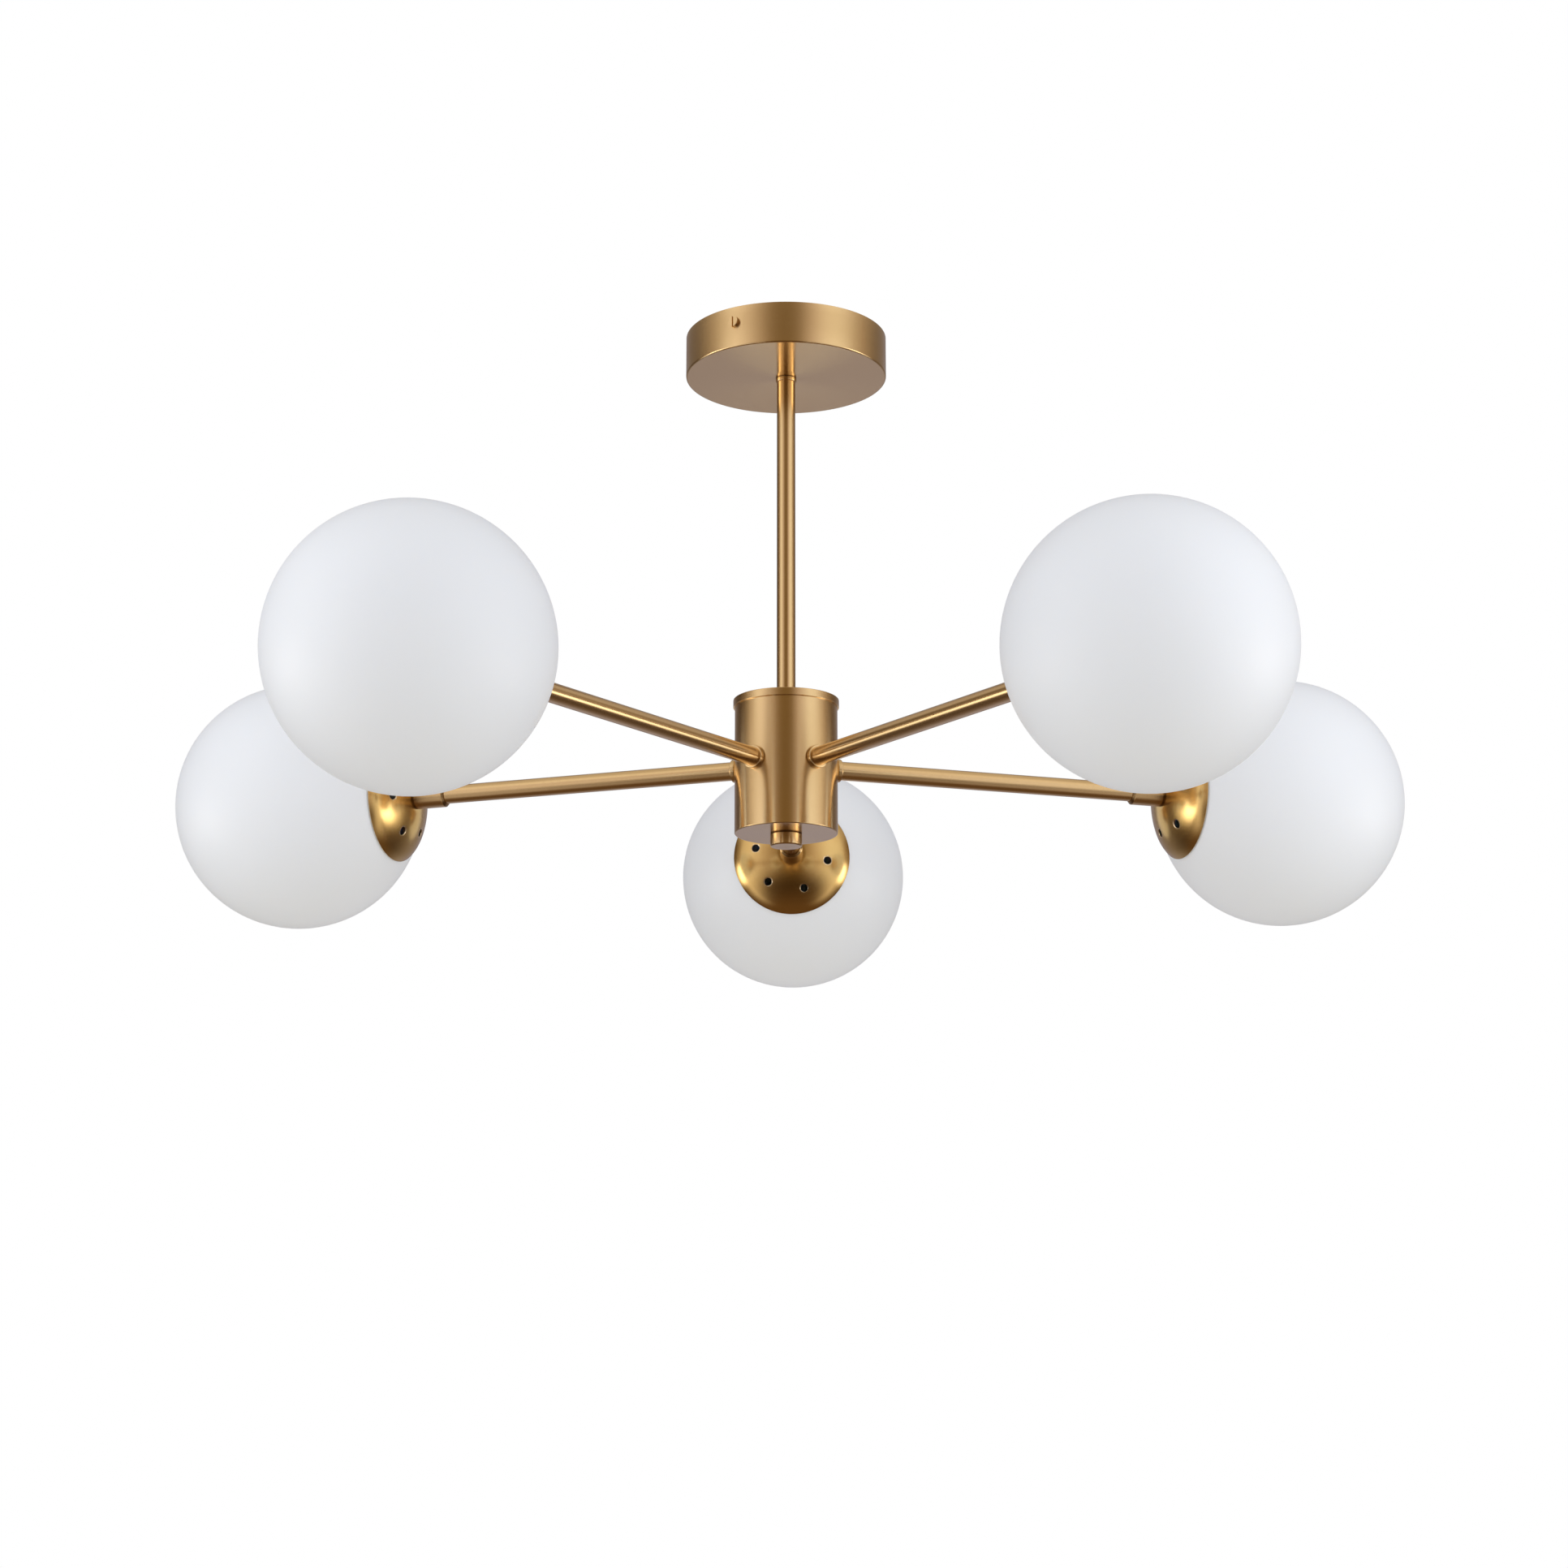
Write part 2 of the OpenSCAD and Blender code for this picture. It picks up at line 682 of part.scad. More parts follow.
// A hollow ball with a straight neck turned inwards round its threaded ring
module globe() {
    color("white") rotate_extrude() intersection() {
        translate([0, arm_reach]) circle(r = globe_r);
        difference() {
            union() {
                translate([0, arm_reach]) difference() {
                    circle(r = globe_r);
                    circle(r = globe_r - glass_t);
                }
                translate([neck_r, arm_reach - globe_r]) square([neck_t, ring_end - arm_reach + globe_r]);
            }
            translate([-globe_r, arm_reach - globe_r]) square([globe_r + neck_r, globe_r]);
            translate([-globe_r - 1, arm_reach - globe_r - 1]) square([globe_r + 1, 2 * globe_r + 2]);
        }
    }
}

// Lampholders and bulbs

module lampholder() {
    color("whitesmoke") translate([0, 0, cup_inside]) difference() {
        union() {
            cylinder(h = holder_foot_h + 1, d = holder_foot_d);
            translate([0, 0, holder_foot_h]) cylinder(h = holder_len - holder_foot_h, r = holder_r);
        }
        translate([0, 0, -1]) cylinder(h = holder_base + 2, d = tube_bore);
        translate([0, 0, holder_base]) cylinder(h = holder_chamber, d = chamber_d);
        translate([0, 0, holder_base + holder_chamber - 1])
            cylinder(h = holder_partition + 2, d = contact_d + 2 * thread_gap);
        translate([0, 0, bore_s - cup_inside]) cylinder(h = holder_len, r = holder_bore_r);
    }
}

module holder_shells() {
    shell_start = bore_s + contact_front;
    shell_len = holder_end - shell_recess - shell_start;
    color("gold") on_arms(shell_start) pipe(2 * shell_r, cap_d + 2 * cap_gap, shell_len);
}

module holder_contacts() {
    color("gold") on_arms(partition_s - contact_back)
        cylinder(h = contact_back + holder_partition + contact_front, d = contact_d);
}

module bulb_cap() {
    tip_d = 5;
    tip_h = 1.5;
    shoulder_h = 3;
    inside_z = tip_h + shoulder_h;
    color("silver") translate([0, 0, tip_s]) difference() {
        union() {
            cylinder(h = tip_h, d = tip_d);
            translate([0, 0, tip_h]) cylinder(h = shoulder_h, d1 = tip_d, d2 = cap_d);
            translate([0, 0, inside_z]) cylinder(h = cap_len - inside_z, d = cap_d);
        }
        translate([0, 0, inside_z]) cylinder(h = cap_len, d = cap_d - 2 * cap_metal_t);
    }
}

// One face of the bulb's glass, as far inside its outer face as inset says: the end that the metal cap
// holds, a shoulder, a flare that meets the ball smoothly, and the ball
function bulb_face(inset) =
    let (held_r = cap_d / 2 - cap_metal_t - thread_gap - inset)
    let (shoulder_r = bulb_neck_d / 2 - inset)
    let (shoulder_s = neck_s + inset)
    let (ball_r = bulb_d / 2 - inset)
    let (lift = ball_s - shoulder_s)
    let (meet = acos(ball_r / norm([shoulder_r, lift])) + atan2(shoulder_r, lift))
    concat(
        [[held_r, neck_s - glass_socket], [held_r, shoulder_s], [shoulder_r, shoulder_s]],
        arc_points([0, ball_s], ball_r, meet, 177.5),
        [[0, ball_s + ball_r]]
    );

module bulb_glass() {
    color("white") rotate_extrude() polygon(concat(bulb_face(0), reversed(bulb_face(bulb_glass_t))));
}

// Wiring

// One of the two leads of each arm, on one side of the tube, with the point where it ends
module arm_leads(side, end) {
    on_arms() lead(rounded([
        [-lead_foot + arm_z, side * lead_spread, lead_drop_r],
        [0, side * lead_spread, lead_drop_r],
        [0, side * lead_spread, end]
    ], lead_bend));
}

// One supply lead, from its way in the terminal block down into the junction block
module supply_lead(way, angle, cross_z) {
    top = supply_spread * [cos(angle), sin(angle)];
    foot = supply_drop_r * [cos(angle), sin(angle)];
    mouth_gap = 2.5;
    spread_drop = 11;
    turn_out = foot_nipple_z - mouth_gap;
    turn_down = turn_out - spread_drop;
    on_bracket() lead(rounded([
        [block_start + block_grip, way * block_pitch, block_lead_z],
        [block_start - block_exit, way * block_pitch, block_lead_z],
        [block_start - block_bend, (way * block_pitch + 3 * top[1]) / 4, cross_z],
        [top[0], top[1], cross_z],
        [top[0], top[1], turn_out],
        [foot[0], foot[1], turn_down],
        [foot[0], foot[1], lead_foot]
    ], lead_bend));
}

module live_leads() {
    color("saddlebrown") arm_leads(1, live_end);
    color("saddlebrown") supply_lead(1, supply_angles[0], block_lead_z);
}

module neutral_leads() {
    color("steelblue") arm_leads(-1, neutral_end);
    color("steelblue") supply_lead(-1, supply_angles[1], block_lead_z);
}

module earth_lead() {
    color("yellowgreen") supply_lead(0, supply_angles[2], earth_cross_z);
}

ceiling_bracket();
canopy();
canopy_screw(1);  // canopy_screw_front
canopy_screw(0);  // canopy_screw_back
terminal_block();
terminal_screws();
earth_screw();
stem();
stem_collar();
nipples();
hex_nuts();
washers();
hub_body();
hub_cap();
hub_yoke();
tie_rod();
finial();
junction_block();
arm_rings();
globe_rings();
holder_shells();
holder_contacts();
live_leads();
neutral_leads();
earth_lead();
for (i = [0:arm_count - 1]) {
    on_arm(i) arm();
    on_arm(i) sleeve();
    on_arm(i) cup(cup_turns[i]);
    on_arm(i) lampholder();
    on_arm(i) globe();
    on_arm(i) bulb_glass();
    on_arm(i) bulb_cap();
}
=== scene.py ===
# %% [markdown]
# # A ceiling light with five opal globes
#
# The lesson dresses a ceiling light: a brass canopy and stem, a small hub, and five level arms that each
# end in a brass cup and an opal glass globe. The construction exists as exact solids, so the first step
# loads them as a fixed frame. The rest is about looks: finer meshes with softened edges, turned and spun
# brass, opal glass, and a plain studio.

import math

import bmesh
import bpy
from mathutils import Matrix, Vector


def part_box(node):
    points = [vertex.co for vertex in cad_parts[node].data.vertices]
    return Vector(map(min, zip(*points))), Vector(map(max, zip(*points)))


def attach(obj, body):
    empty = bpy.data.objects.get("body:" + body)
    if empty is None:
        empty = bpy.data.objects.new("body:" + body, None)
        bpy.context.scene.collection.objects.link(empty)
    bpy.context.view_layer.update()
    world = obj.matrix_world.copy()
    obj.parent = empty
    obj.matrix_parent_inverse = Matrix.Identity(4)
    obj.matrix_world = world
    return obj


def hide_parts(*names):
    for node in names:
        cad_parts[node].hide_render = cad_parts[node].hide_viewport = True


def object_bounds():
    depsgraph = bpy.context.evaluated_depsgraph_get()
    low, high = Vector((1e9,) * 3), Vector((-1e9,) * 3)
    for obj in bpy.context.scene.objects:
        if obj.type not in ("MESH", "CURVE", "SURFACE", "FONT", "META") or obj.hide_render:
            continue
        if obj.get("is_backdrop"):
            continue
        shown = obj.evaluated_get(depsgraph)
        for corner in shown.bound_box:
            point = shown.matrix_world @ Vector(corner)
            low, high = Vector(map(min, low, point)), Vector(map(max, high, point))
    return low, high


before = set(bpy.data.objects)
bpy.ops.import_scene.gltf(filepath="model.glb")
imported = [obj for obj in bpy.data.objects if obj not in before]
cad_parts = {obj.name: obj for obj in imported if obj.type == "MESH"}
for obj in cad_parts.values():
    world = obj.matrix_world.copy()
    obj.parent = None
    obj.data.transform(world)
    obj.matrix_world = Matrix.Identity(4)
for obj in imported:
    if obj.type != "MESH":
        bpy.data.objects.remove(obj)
scene = bpy.context.scene
cad_low, cad_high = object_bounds()
mm = 0.001
print("frame of", len(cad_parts), "nodes, size in mm", [round(v / mm, 1) for v in cad_high - cad_low])

# %% [markdown]
# ## Sizes
#
# Each size that the solids hold is read from the box of its node, so a change of the construction moves the
# looks with it. The back arm points along +Y, so in its boxes Y is the distance from the hub's axis, and
# half the width along X is a radius.

# %% Read the driving sizes
PLACES = ["back", "right", "front_right", "front_left", "left"]
FIRST_ARM = math.radians(90)
ARM_STEP = -2 * math.pi / len(PLACES)


def radius_of(node):
    low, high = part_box(node)
    return (high.x - low.x) / 2


def reach_of(node):
    """Where a node of the back arm starts and ends, measured from the hub's axis."""
    low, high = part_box(node)
    return low.y, high.y


def height_of(node):
    low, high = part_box(node)
    return low.z, high.z


arm_low, arm_high = height_of("arm_back")
arm_height = (arm_low + arm_high) / 2
hub_radius = radius_of("hub_body")
globe_radius = radius_of("globe_back")
print("globe radius", round(globe_radius / mm, 2), "arm height", round(arm_height / mm, 2))

# %% [markdown]
# ## Places
#
# Every round piece is modelled about its own Z axis and then placed, upright or along an arm. That lets one
# brass material draw its turning marks round Z on every piece, whichever way the piece points.

# %% Place pieces upright or along an arm
def on_arm(place):
    """Local Z is then the distance from the hub's axis along that arm, and local X points down."""
    turn = FIRST_ARM + ARM_STEP * PLACES.index(place)
    return (
        Matrix.Rotation(turn, 4, "Z")
        @ Matrix.Translation((0, 0, arm_height))
        @ Matrix.Rotation(math.pi / 2, 4, "Y")
    )


UPRIGHT = Matrix.Identity(4)
BODY = "fixture"


def dress(piece, material):
    piece.data.materials.clear()
    piece.data.materials.append(material)
    return piece


def settle(piece, matrix, body, slot, *nodes):
    """Places a finished piece, on its body, instead of its CAD nodes."""
    piece.matrix_world = matrix
    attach(piece, body)
    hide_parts(*nodes)


print("arms at", [round(math.degrees(FIRST_ARM + ARM_STEP * k)) for k in range(len(PLACES))], "degrees")

# %% [markdown]
# ## Sections with softened corners
#
# A lathe part is a closed section turned about an axis. Real edges are never perfectly sharp: a small
# radius catches the light in a bright line. So a section is given as corners with a rounding each, which
# become arcs. Each point carries an edge mark for the brass: 1 on an arc, which looks polished and on the
# cups also carries a painted highlight, and -1 in a joint, which is darkened with painted shade.

# %% Round the corners of a section
ARC_STEPS = 5


def spaced(start, end, count):
    return [start + (end - start) * k / count for k in range(count + 1)]


def plain(radius, height):
    return (radius, height, 0.0)


def softened(corners):
    """Corners are (radius, height, rounding), and points are (radius, height, edge mark)."""
    points = []
    for i, (r, z, rounding) in enumerate(corners):
        if rounding <= 0:
            points.append(plain(r, z))
            continue
        at = Vector((r, z))
        back = (Vector(corners[i - 1][:2]) - at).normalized()
        ahead = (Vector(corners[(i + 1) % len(corners)][:2]) - at).normalized()
        half = back.angle(ahead) / 2
        centre = at + (back + ahead).normalized() * rounding / math.sin(half)
        first = at + back * rounding / math.tan(half) - centre
        last = at + ahead * rounding / math.tan(half) - centre
        sweep = math.pi - 2 * half
        for a in spaced(0, sweep, ARC_STEPS):
            p = centre + (first * math.sin(sweep - a) + last * math.sin(a)) / math.sin(sweep)
            points.append((p.x, p.y, 1.0))
    return points


def in_joints(section, low, high):
    """Marks the two ends of a section, below low and above high, as joints, which the brass darkens with
    painted shade.
    """
    return [(r, z, -1.0 if z < low or z > high else edge) for r, z, edge in section]


def arc(centre_z, radius, start, end, steps):
    """Points of an arc in a section; the angle is measured from the downward axis, in degrees."""
    turns = [math.radians(angle) for angle in spaced(start, end, steps)]
    return [plain(radius * math.sin(a), centre_z - radius * math.cos(a)) for a in turns]


print("a softened corner becomes", ARC_STEPS + 1, "points")

# %% [markdown]
# ## Turning a section into a mesh
#
# A mesh is collected as patches of points and faces and then welded, which closes poles and seams. A
# weighted normal modifier keeps the flats flat next to the small edge arcs.

# %% Collect patches and turn sections
AROUND = 96
WELD = 0.002 * mm


def put(name, data):
    """A new object in the scene."""
    made = bpy.data.objects.new(name, data)
    scene.collection.objects.link(made)
    return made


def ring_row(r, z, edge, around, start=0.0):
    turns = [start + 2 * math.pi * k / around for k in range(around)]
    return [((r * math.cos(a), r * math.sin(a), z), edge) for a in turns]


class Patches:
    def __init__(self):
        self.points = []
        self.edge = []
        self.faces = []

    def rows(self, rows, closed=False):
        """Quads between neighbouring rows of (point, edge mark), which may close on themselves."""
        base = len(self.points)
        across = len(rows[0])
        for row in rows:
            for point, edge in row:
                self.points.append(point)
                self.edge.append(edge)
        for i in range(len(rows) - 1):
            for j in range(across if closed else across - 1):
                k = (j + 1) % across
                low = base + i * across
                high = low + across
                self.faces.append((low + j, low + k, high + k, high + j))

    def turn(self, section, around, start=0.0):
        """Turns an open section about local Z."""
        self.rows([ring_row(*point, around, start) for point in section], closed=True)

    def mesh(self, name):
        data = bpy.data.meshes.new(name)
        data.from_pydata(self.points, [], self.faces)
        data.attributes.new("edge", "FLOAT", "POINT").data.foreach_set("value", self.edge)
        work = bmesh.new()
        work.from_mesh(data)
        bmesh.ops.remove_doubles(work, verts=work.verts, dist=WELD)
        bmesh.ops.dissolve_degenerate(work, edges=work.edges, dist=WELD)
        bmesh.ops.recalc_face_normals(work, faces=work.faces)
        for face in work.faces:
            face.smooth = True
        work.to_mesh(data)
        work.free()
        piece = put(name, data)
        piece.modifiers.new("flat flats", "WEIGHTED_NORMAL").keep_sharp = True
        return piece


def turned(name, section, around=AROUND):
    """A solid of revolution about local Z from a closed section."""
    patches = Patches()
    patches.turn(section + section[:1], around)
    return patches.mesh(name)


print("turned parts have", AROUND, "sides")

# %% [markdown]
# ## Holes in turned walls
#
# The cups, the hub and the canopy have round holes. A Boolean would leave long thin faces that shade badly
# on a polished dome. Instead, the wall is a grid of cells, and a cell that has a hole is filled with loops
# that change from the round hole to the cell's border. The hole's lip has its own small rounding, marked as
# an edge, which gives the pale crescent round each vent. On the cups that crescent is partly a painted
# highlight, from their near-white edge colour. A place on a wall is (turn, t): the angle round the axis,
# and the height on a drum or the radius on a cup.

# %% Fill a wall with cells and holes
LOOPS = 4
LOOP_CROWDING = 1.3


def toward(start, end, distance):
    start, end = Vector(start), Vector(end)
    return tuple(start + (end - start).normalized() * distance)


def cell_border(turn_0, turn_1, t_0, t_1, across, up):
    """The border of a cell as (turn, t) pairs, once round."""
    border = [(turn, t_0) for turn in spaced(turn_0, turn_1, across)[:-1]]
    border += [(turn_1, t) for t in spaced(t_0, t_1, up)[:-1]]
    border += [(turn, t_1) for turn in spaced(turn_1, turn_0, across)[:-1]]
    return border + [(turn_0, t) for t in spaced(t_1, t_0, up)[:-1]]


def pierced_cell(patches, faces, border, centre, hole_radius, lip, to_param, to_flat):
    """One cell of the outer and the inner face, with a hole of softened lips between them.

    The faces turn (turn, t) into points. to_flat and to_param change between (turn, t) and the plane in
    which the hole is a circle about the origin.
    """
    x, y = to_flat(*border[0], centre)
    start = math.atan2(y, x)
    turns = [start + 2 * math.pi * k / len(border) for k in range(len(border))]

    def loop(radius):
        return [to_param(radius * math.cos(a), radius * math.sin(a), centre) for a in turns]

    lines = list(zip(loop(hole_radius + lip), border))
    shares = [(step / LOOPS) ** LOOP_CROWDING for step in range(LOOPS + 1)]
    for face in faces:
        patches.rows([[(face(turn_a + (turn_b - turn_a) * share, t_a + (t_b - t_a) * share), 0.0)
                       for (turn_a, t_a), (turn_b, t_b) in lines] for share in shares], closed=True)

    wall = []
    quarter = spaced(0, math.pi / 2, ARC_STEPS)
    for (near, far), angles in ((faces, quarter), (faces[::-1], quarter[::-1])):
        for a in angles:
            depth = lip * (1 - math.cos(a))
            places = loop(hole_radius + lip * (1 - math.sin(a)))
            wall.append([(toward(near(*at), far(*at), depth), 1.0) for at in places])
    patches.rows(wall, closed=True)


def pierced_band(patches, faces, ends, around, start, holes, half_cell, up, hole, maps):
    """A band of wall with evenly spaced holes; hole is (t, radius, lip) and maps (to_param, to_flat)."""
    pitch = 2 * math.pi / around
    hole_t, hole_radius, lip = hole
    taken = set()
    for middle in range(0, around, around // holes):
        taken.update((middle + k) % around for k in range(-half_cell, half_cell))
        turn = start + middle * pitch
        border = cell_border(turn - half_cell * pitch, turn + half_cell * pitch, *ends, 2 * half_cell, up)
        pierced_cell(patches, faces, border, (turn, hole_t), hole_radius, lip, *maps)
    for k in range(around):
        if k in taken:
            continue
        sides = start + k * pitch, start + (k + 1) * pitch
        for face in faces:
            patches.rows([[(face(turn, t), 0.0) for turn in sides] for t in spaced(*ends, up)])


print("a hole is drawn with", LOOPS, "loops")

# %% [markdown]
# ## A drum with holes in its wall
#
# The canopy and the hub are drums, open at the top. The floor, the edge and the two ends of the wall are
# plain turned rows, and only the band that the holes lie in is made of cells.

# %% Make a drum
HOLE_MARGIN = 2.2 * mm


def drum(name, radius, low, high, wall, edge_r, bore, hole_t, hole_r, first_hole, holes, half_cell, around):
    """A drum about local Z; its holes lie evenly round it at height hole_t."""
    patches = Patches()
    inside = radius - wall
    lip = min(0.15 * mm, wall / 5)
    t_0, t_1 = hole_t - (hole_r + HOLE_MARGIN), hole_t + (hole_r + HOLE_MARGIN)
    for corners in (
            [(bore, low + wall, 0), (bore, low, lip), (radius, low, edge_r), (radius, t_0, 0)],
            [(inside, t_0, 0), (inside, low + wall, edge_r), (bore, low + wall, 0)],
            [(radius, t_1, 0), (radius, high, lip), (inside, high, lip), (inside, t_1, 0)]):
        patches.turn(softened(corners), around, first_hole)

    def face(at_radius):
        return lambda turn, t: (at_radius * math.cos(turn), at_radius * math.sin(turn), t)

    def to_param(x, y, centre):
        return centre[0] + math.asin(x / radius), centre[1] + y

    def to_flat(turn, t, centre):
        return radius * math.sin(turn - centre[0]), t - centre[1]

    pierced_band(patches, (face(radius), face(inside)), (t_0, t_1), around, first_hole, holes, half_cell,
                 up=6, hole=(hole_t, hole_r, lip), maps=(to_param, to_flat))
    return patches.mesh(name)


print("the holes of a drum are whole steps of its grid apart")

# %% [markdown]
# ## Helpers for materials
#
# A material is a small tree of nodes. One helper adds a node, sets its options and fills or links its
# inputs. Effects that several materials share are node groups with named inputs.

# %% Add nodes and start materials and groups
def fill(tree, made, inputs):
    """Links or sets the inputs of a node."""
    for key, value in inputs.items():
        if isinstance(value, bpy.types.NodeSocket):
            tree.links.new(value, made.inputs[key])
        else:
            made.inputs[key].default_value = value
    return made


def add(tree, kind, inputs=None, **options):
    made = tree.nodes.new("ShaderNode" + kind)
    for name, value in options.items():
        setattr(made, name, value)
    return fill(tree, made, inputs or {})


def spelled(values):
    """Python names can't hold the spaces that the names of inputs have."""
    return {label.replace("_", " "): value for label, value in values.items()}


def math_node(tree, operation, *values, clamp=False):
    made = add(tree, "Math", dict(enumerate(values)), operation=operation, use_clamp=clamp)
    return made.outputs[0]


def mix_colours(tree, share, first, second):
    ends = [end if isinstance(end, bpy.types.NodeSocket) else (*end, 1.0) for end in (first, second)]
    return add(tree, "Mix", {0: share, 6: ends[0], 7: ends[1]}, data_type="RGBA").outputs[2]


def vector_node(tree, operation, *values):
    return add(tree, "VectorMath", dict(enumerate(values)), operation=operation).outputs


def remap(tree, value, low, high):
    """A value from 0 to 1 becomes one from low to high."""
    return add(tree, "MapRange", {"Value": value, "To Min": low, "To Max": high}).outputs[0]


def new_group(name, inputs, outputs):
    tree = bpy.data.node_groups.new(name, "ShaderNodeTree")
    for label, default in inputs:
        made = tree.interface.new_socket(label, in_out="INPUT", socket_type="NodeSocketFloat")
        made.default_value = default
    for label in outputs:
        tree.interface.new_socket(label, in_out="OUTPUT", socket_type="NodeSocketFloat")
    return tree, tree.nodes.new("NodeGroupInput").outputs, tree.nodes.new("NodeGroupOutput").inputs


def use_group(tree, group, **values):
    return add(tree, "Group", spelled(values), node_tree=group).outputs


def new_material(name, **constants):
    """A material with a Principled shader, whose own sockets hold the constants."""
    material = bpy.data.materials.new(name)
    material.use_nodes = True
    shader = material.node_tree.nodes["Principled BSDF"]
    fill(material.node_tree, shader, spelled(constants))
    return material, material.node_tree, shader


print("helpers ready")

# %% [markdown]
# ## Marks left by turning
#
# The brass was polished on a lathe, which leaves fine circles round the turning axis. The group draws them
# as noise that changes fast along the axis and the radius, and slowly round the axis. It uses the direction
# round the axis, because an angle would leave a seam.

# %% Build the group of turning marks
BROAD_SHARE = 0.22
tree, given, out = new_group(
    "turning marks", [("Lines per metre", 3000.0), ("Breaks round", 3.0)], ["Fine", "Broad"])
place = add(tree, "TexCoord").outputs["Object"]
split = add(tree, "SeparateXYZ", {0: place}).outputs
flat = add(tree, "CombineXYZ", {0: split[0], 1: split[1]}).outputs[0]
radius = vector_node(tree, "LENGTH", flat)["Value"]
facing = vector_node(tree, "NORMALIZE", flat)[0]
facing = add(tree, "VectorMath", {0: facing, "Scale": given["Breaks round"]}, operation="SCALE").outputs[0]
facing = add(tree, "SeparateXYZ", {0: facing}).outputs
for label, share in (("Fine", 1.0), ("Broad", BROAD_SHARE)):
    lines = math_node(tree, "MULTIPLY", given["Lines per metre"], share)
    height = math_node(tree, "MULTIPLY", split[2], lines)
    outward = math_node(tree, "MULTIPLY", radius, lines)
    at = add(tree, "CombineXYZ", {0: facing[0], 1: facing[1], 2: height}).outputs[0]
    noise = add(tree, "TexNoise", {"Vector": at, "W": outward, "Scale": 1.0, "Detail": 2.0},
                noise_dimensions="4D")
    tree.links.new(noise.outputs["Fac"], out[label])
TURNING_MARKS = tree
print("turning marks take", len(TURNING_MARKS.nodes), "nodes")

# %% [markdown]
# ## Mottling, polished edges and painted shade in joints
#
# Lacquered brass is never one flat colour: broad soft patches are a little darker or redder, and handling
# leaves the edges brighter. Two more groups give the mottling at a chosen scale, and a mask for the edges,
# broken up by noise so that the polish looks worn in. Where the edge mark is negative, in the joints
# between parts, the mask gives painted shade.

# %% Build the groups for mottling, and for edge polish and joint shade
tree, given, out = new_group("mottling", [("Patches per metre", 30.0), ("Contrast", 1.0)], ["Tone"])
place = add(tree, "TexCoord").outputs["Object"]
noise = add(tree, "TexNoise",
            {"Vector": place, "Scale": given["Patches per metre"], "Detail": 3.0, "Roughness": 0.55})
centred = math_node(tree, "SUBTRACT", noise.outputs["Fac"], 0.5)
spread = math_node(tree, "MULTIPLY", centred, given["Contrast"])
tree.links.new(math_node(tree, "ADD", spread, 0.5, clamp=True), out["Tone"])
MOTTLING = tree

# The group's Mask brightens polished edges. Its second output darkens the joints between parts with painted
# shade.
tree, given, out = new_group(
    "edge polish and joint shade", [("Breaks per metre", 400.0), ("Amount", 1.0)], ["Mask", "Painted shade"])
edge = add(tree, "Attribute", attribute_name="edge").outputs["Fac"]
place = add(tree, "TexCoord").outputs["Object"]
noise = add(tree, "TexNoise",
            {"Vector": place, "Scale": given["Breaks per metre"], "Detail": 2.0})
wear_and_painted_light = math_node(tree, "MULTIPLY", edge, remap(tree, noise.outputs["Fac"], 0.4, 1.0))
tree.links.new(math_node(tree, "MULTIPLY", wear_and_painted_light, given["Amount"], clamp=True), out["Mask"])
tree.links.new(math_node(tree, "MULTIPLY", wear_and_painted_light, -1.0, clamp=True), out["Painted shade"])
EDGE_POLISH_AND_SHADE = tree


def mottling(tree, patches_per_metre, contrast):
    return use_group(tree, MOTTLING, Patches_per_metre=patches_per_metre, Contrast=contrast)["Tone"]


print("groups:", [g.name for g in bpy.data.node_groups])

# %% [markdown]
# ## Brass, turned and spun
#
# The canopy, stem, hub and arms are satin: the fine circles stretch every reflection along the part, so a
# round tube shows long clean bands of light and dark. The shader's anisotropy does that, with a tangent
# that runs round Z. The cups are spun and buffed, so they are glossier, with small strong highlights. Their
# edge colour is near white, which paints a highlight on their rims and vent lips on top of the polish.

# %% Make the brass materials
# The colour of the painted shade in the joints between parts.
PAINTED_SHADE_COLOUR = (0.14, 0.07, 0.02)


def brass(name, light, dark, wear_and_painted_light, roughness, stretch, mark_depth, mark_tone, lines, breaks):
    material, tree, shader = new_material(name, Metallic=1.0, Anisotropic=stretch, Anisotropic_Rotation=0.25)
    marks = use_group(tree, TURNING_MARKS, Lines_per_metre=lines, Breaks_round=breaks)
    polish = use_group(tree, EDGE_POLISH_AND_SHADE, Amount=0.7)
    tone = math_node(tree, "MULTIPLY_ADD", marks["Broad"], mark_tone, -mark_tone / 2)
    tone = math_node(tree, "ADD", tone, mottling(tree, 28.0, 1.5))
    colour = mix_colours(tree, tone, dark, light)
    # Edges get the edge colour. It stands for polish, and on the cups also for a near-white painted
    # highlight.
    colour = mix_colours(tree, polish["Mask"], colour, wear_and_painted_light)
    # The joints between parts are darkened with painted shade.
    colour = mix_colours(tree, polish["Painted shade"], colour, PAINTED_SHADE_COLOUR)
    rough = remap(tree, marks["Broad"], roughness - 0.04, roughness + 0.04)
    rough = add(tree, "Mix", {0: polish["Mask"], 2: rough, 3: roughness * 0.6}).outputs[0]
    bump = add(tree, "Bump", {"Height": marks["Fine"], "Strength": 1.0, "Distance": mark_depth})
    tangent = add(tree, "Tangent", direction_type="RADIAL", axis="Z")
    fill(tree, shader, {"Base Color": colour, "Roughness": rough, "Normal": bump.outputs[0],
                        "Tangent": tangent.outputs[0]})
    return material


TURNED_BRASS = brass(
    "turned brass", light=(0.79, 0.56, 0.29), dark=(0.75, 0.52, 0.25), wear_and_painted_light=(0.88, 0.63, 0.33),
    roughness=0.25, stretch=0.7, mark_depth=0.0012 * mm, mark_tone=0.3, lines=7000.0, breaks=1.6)
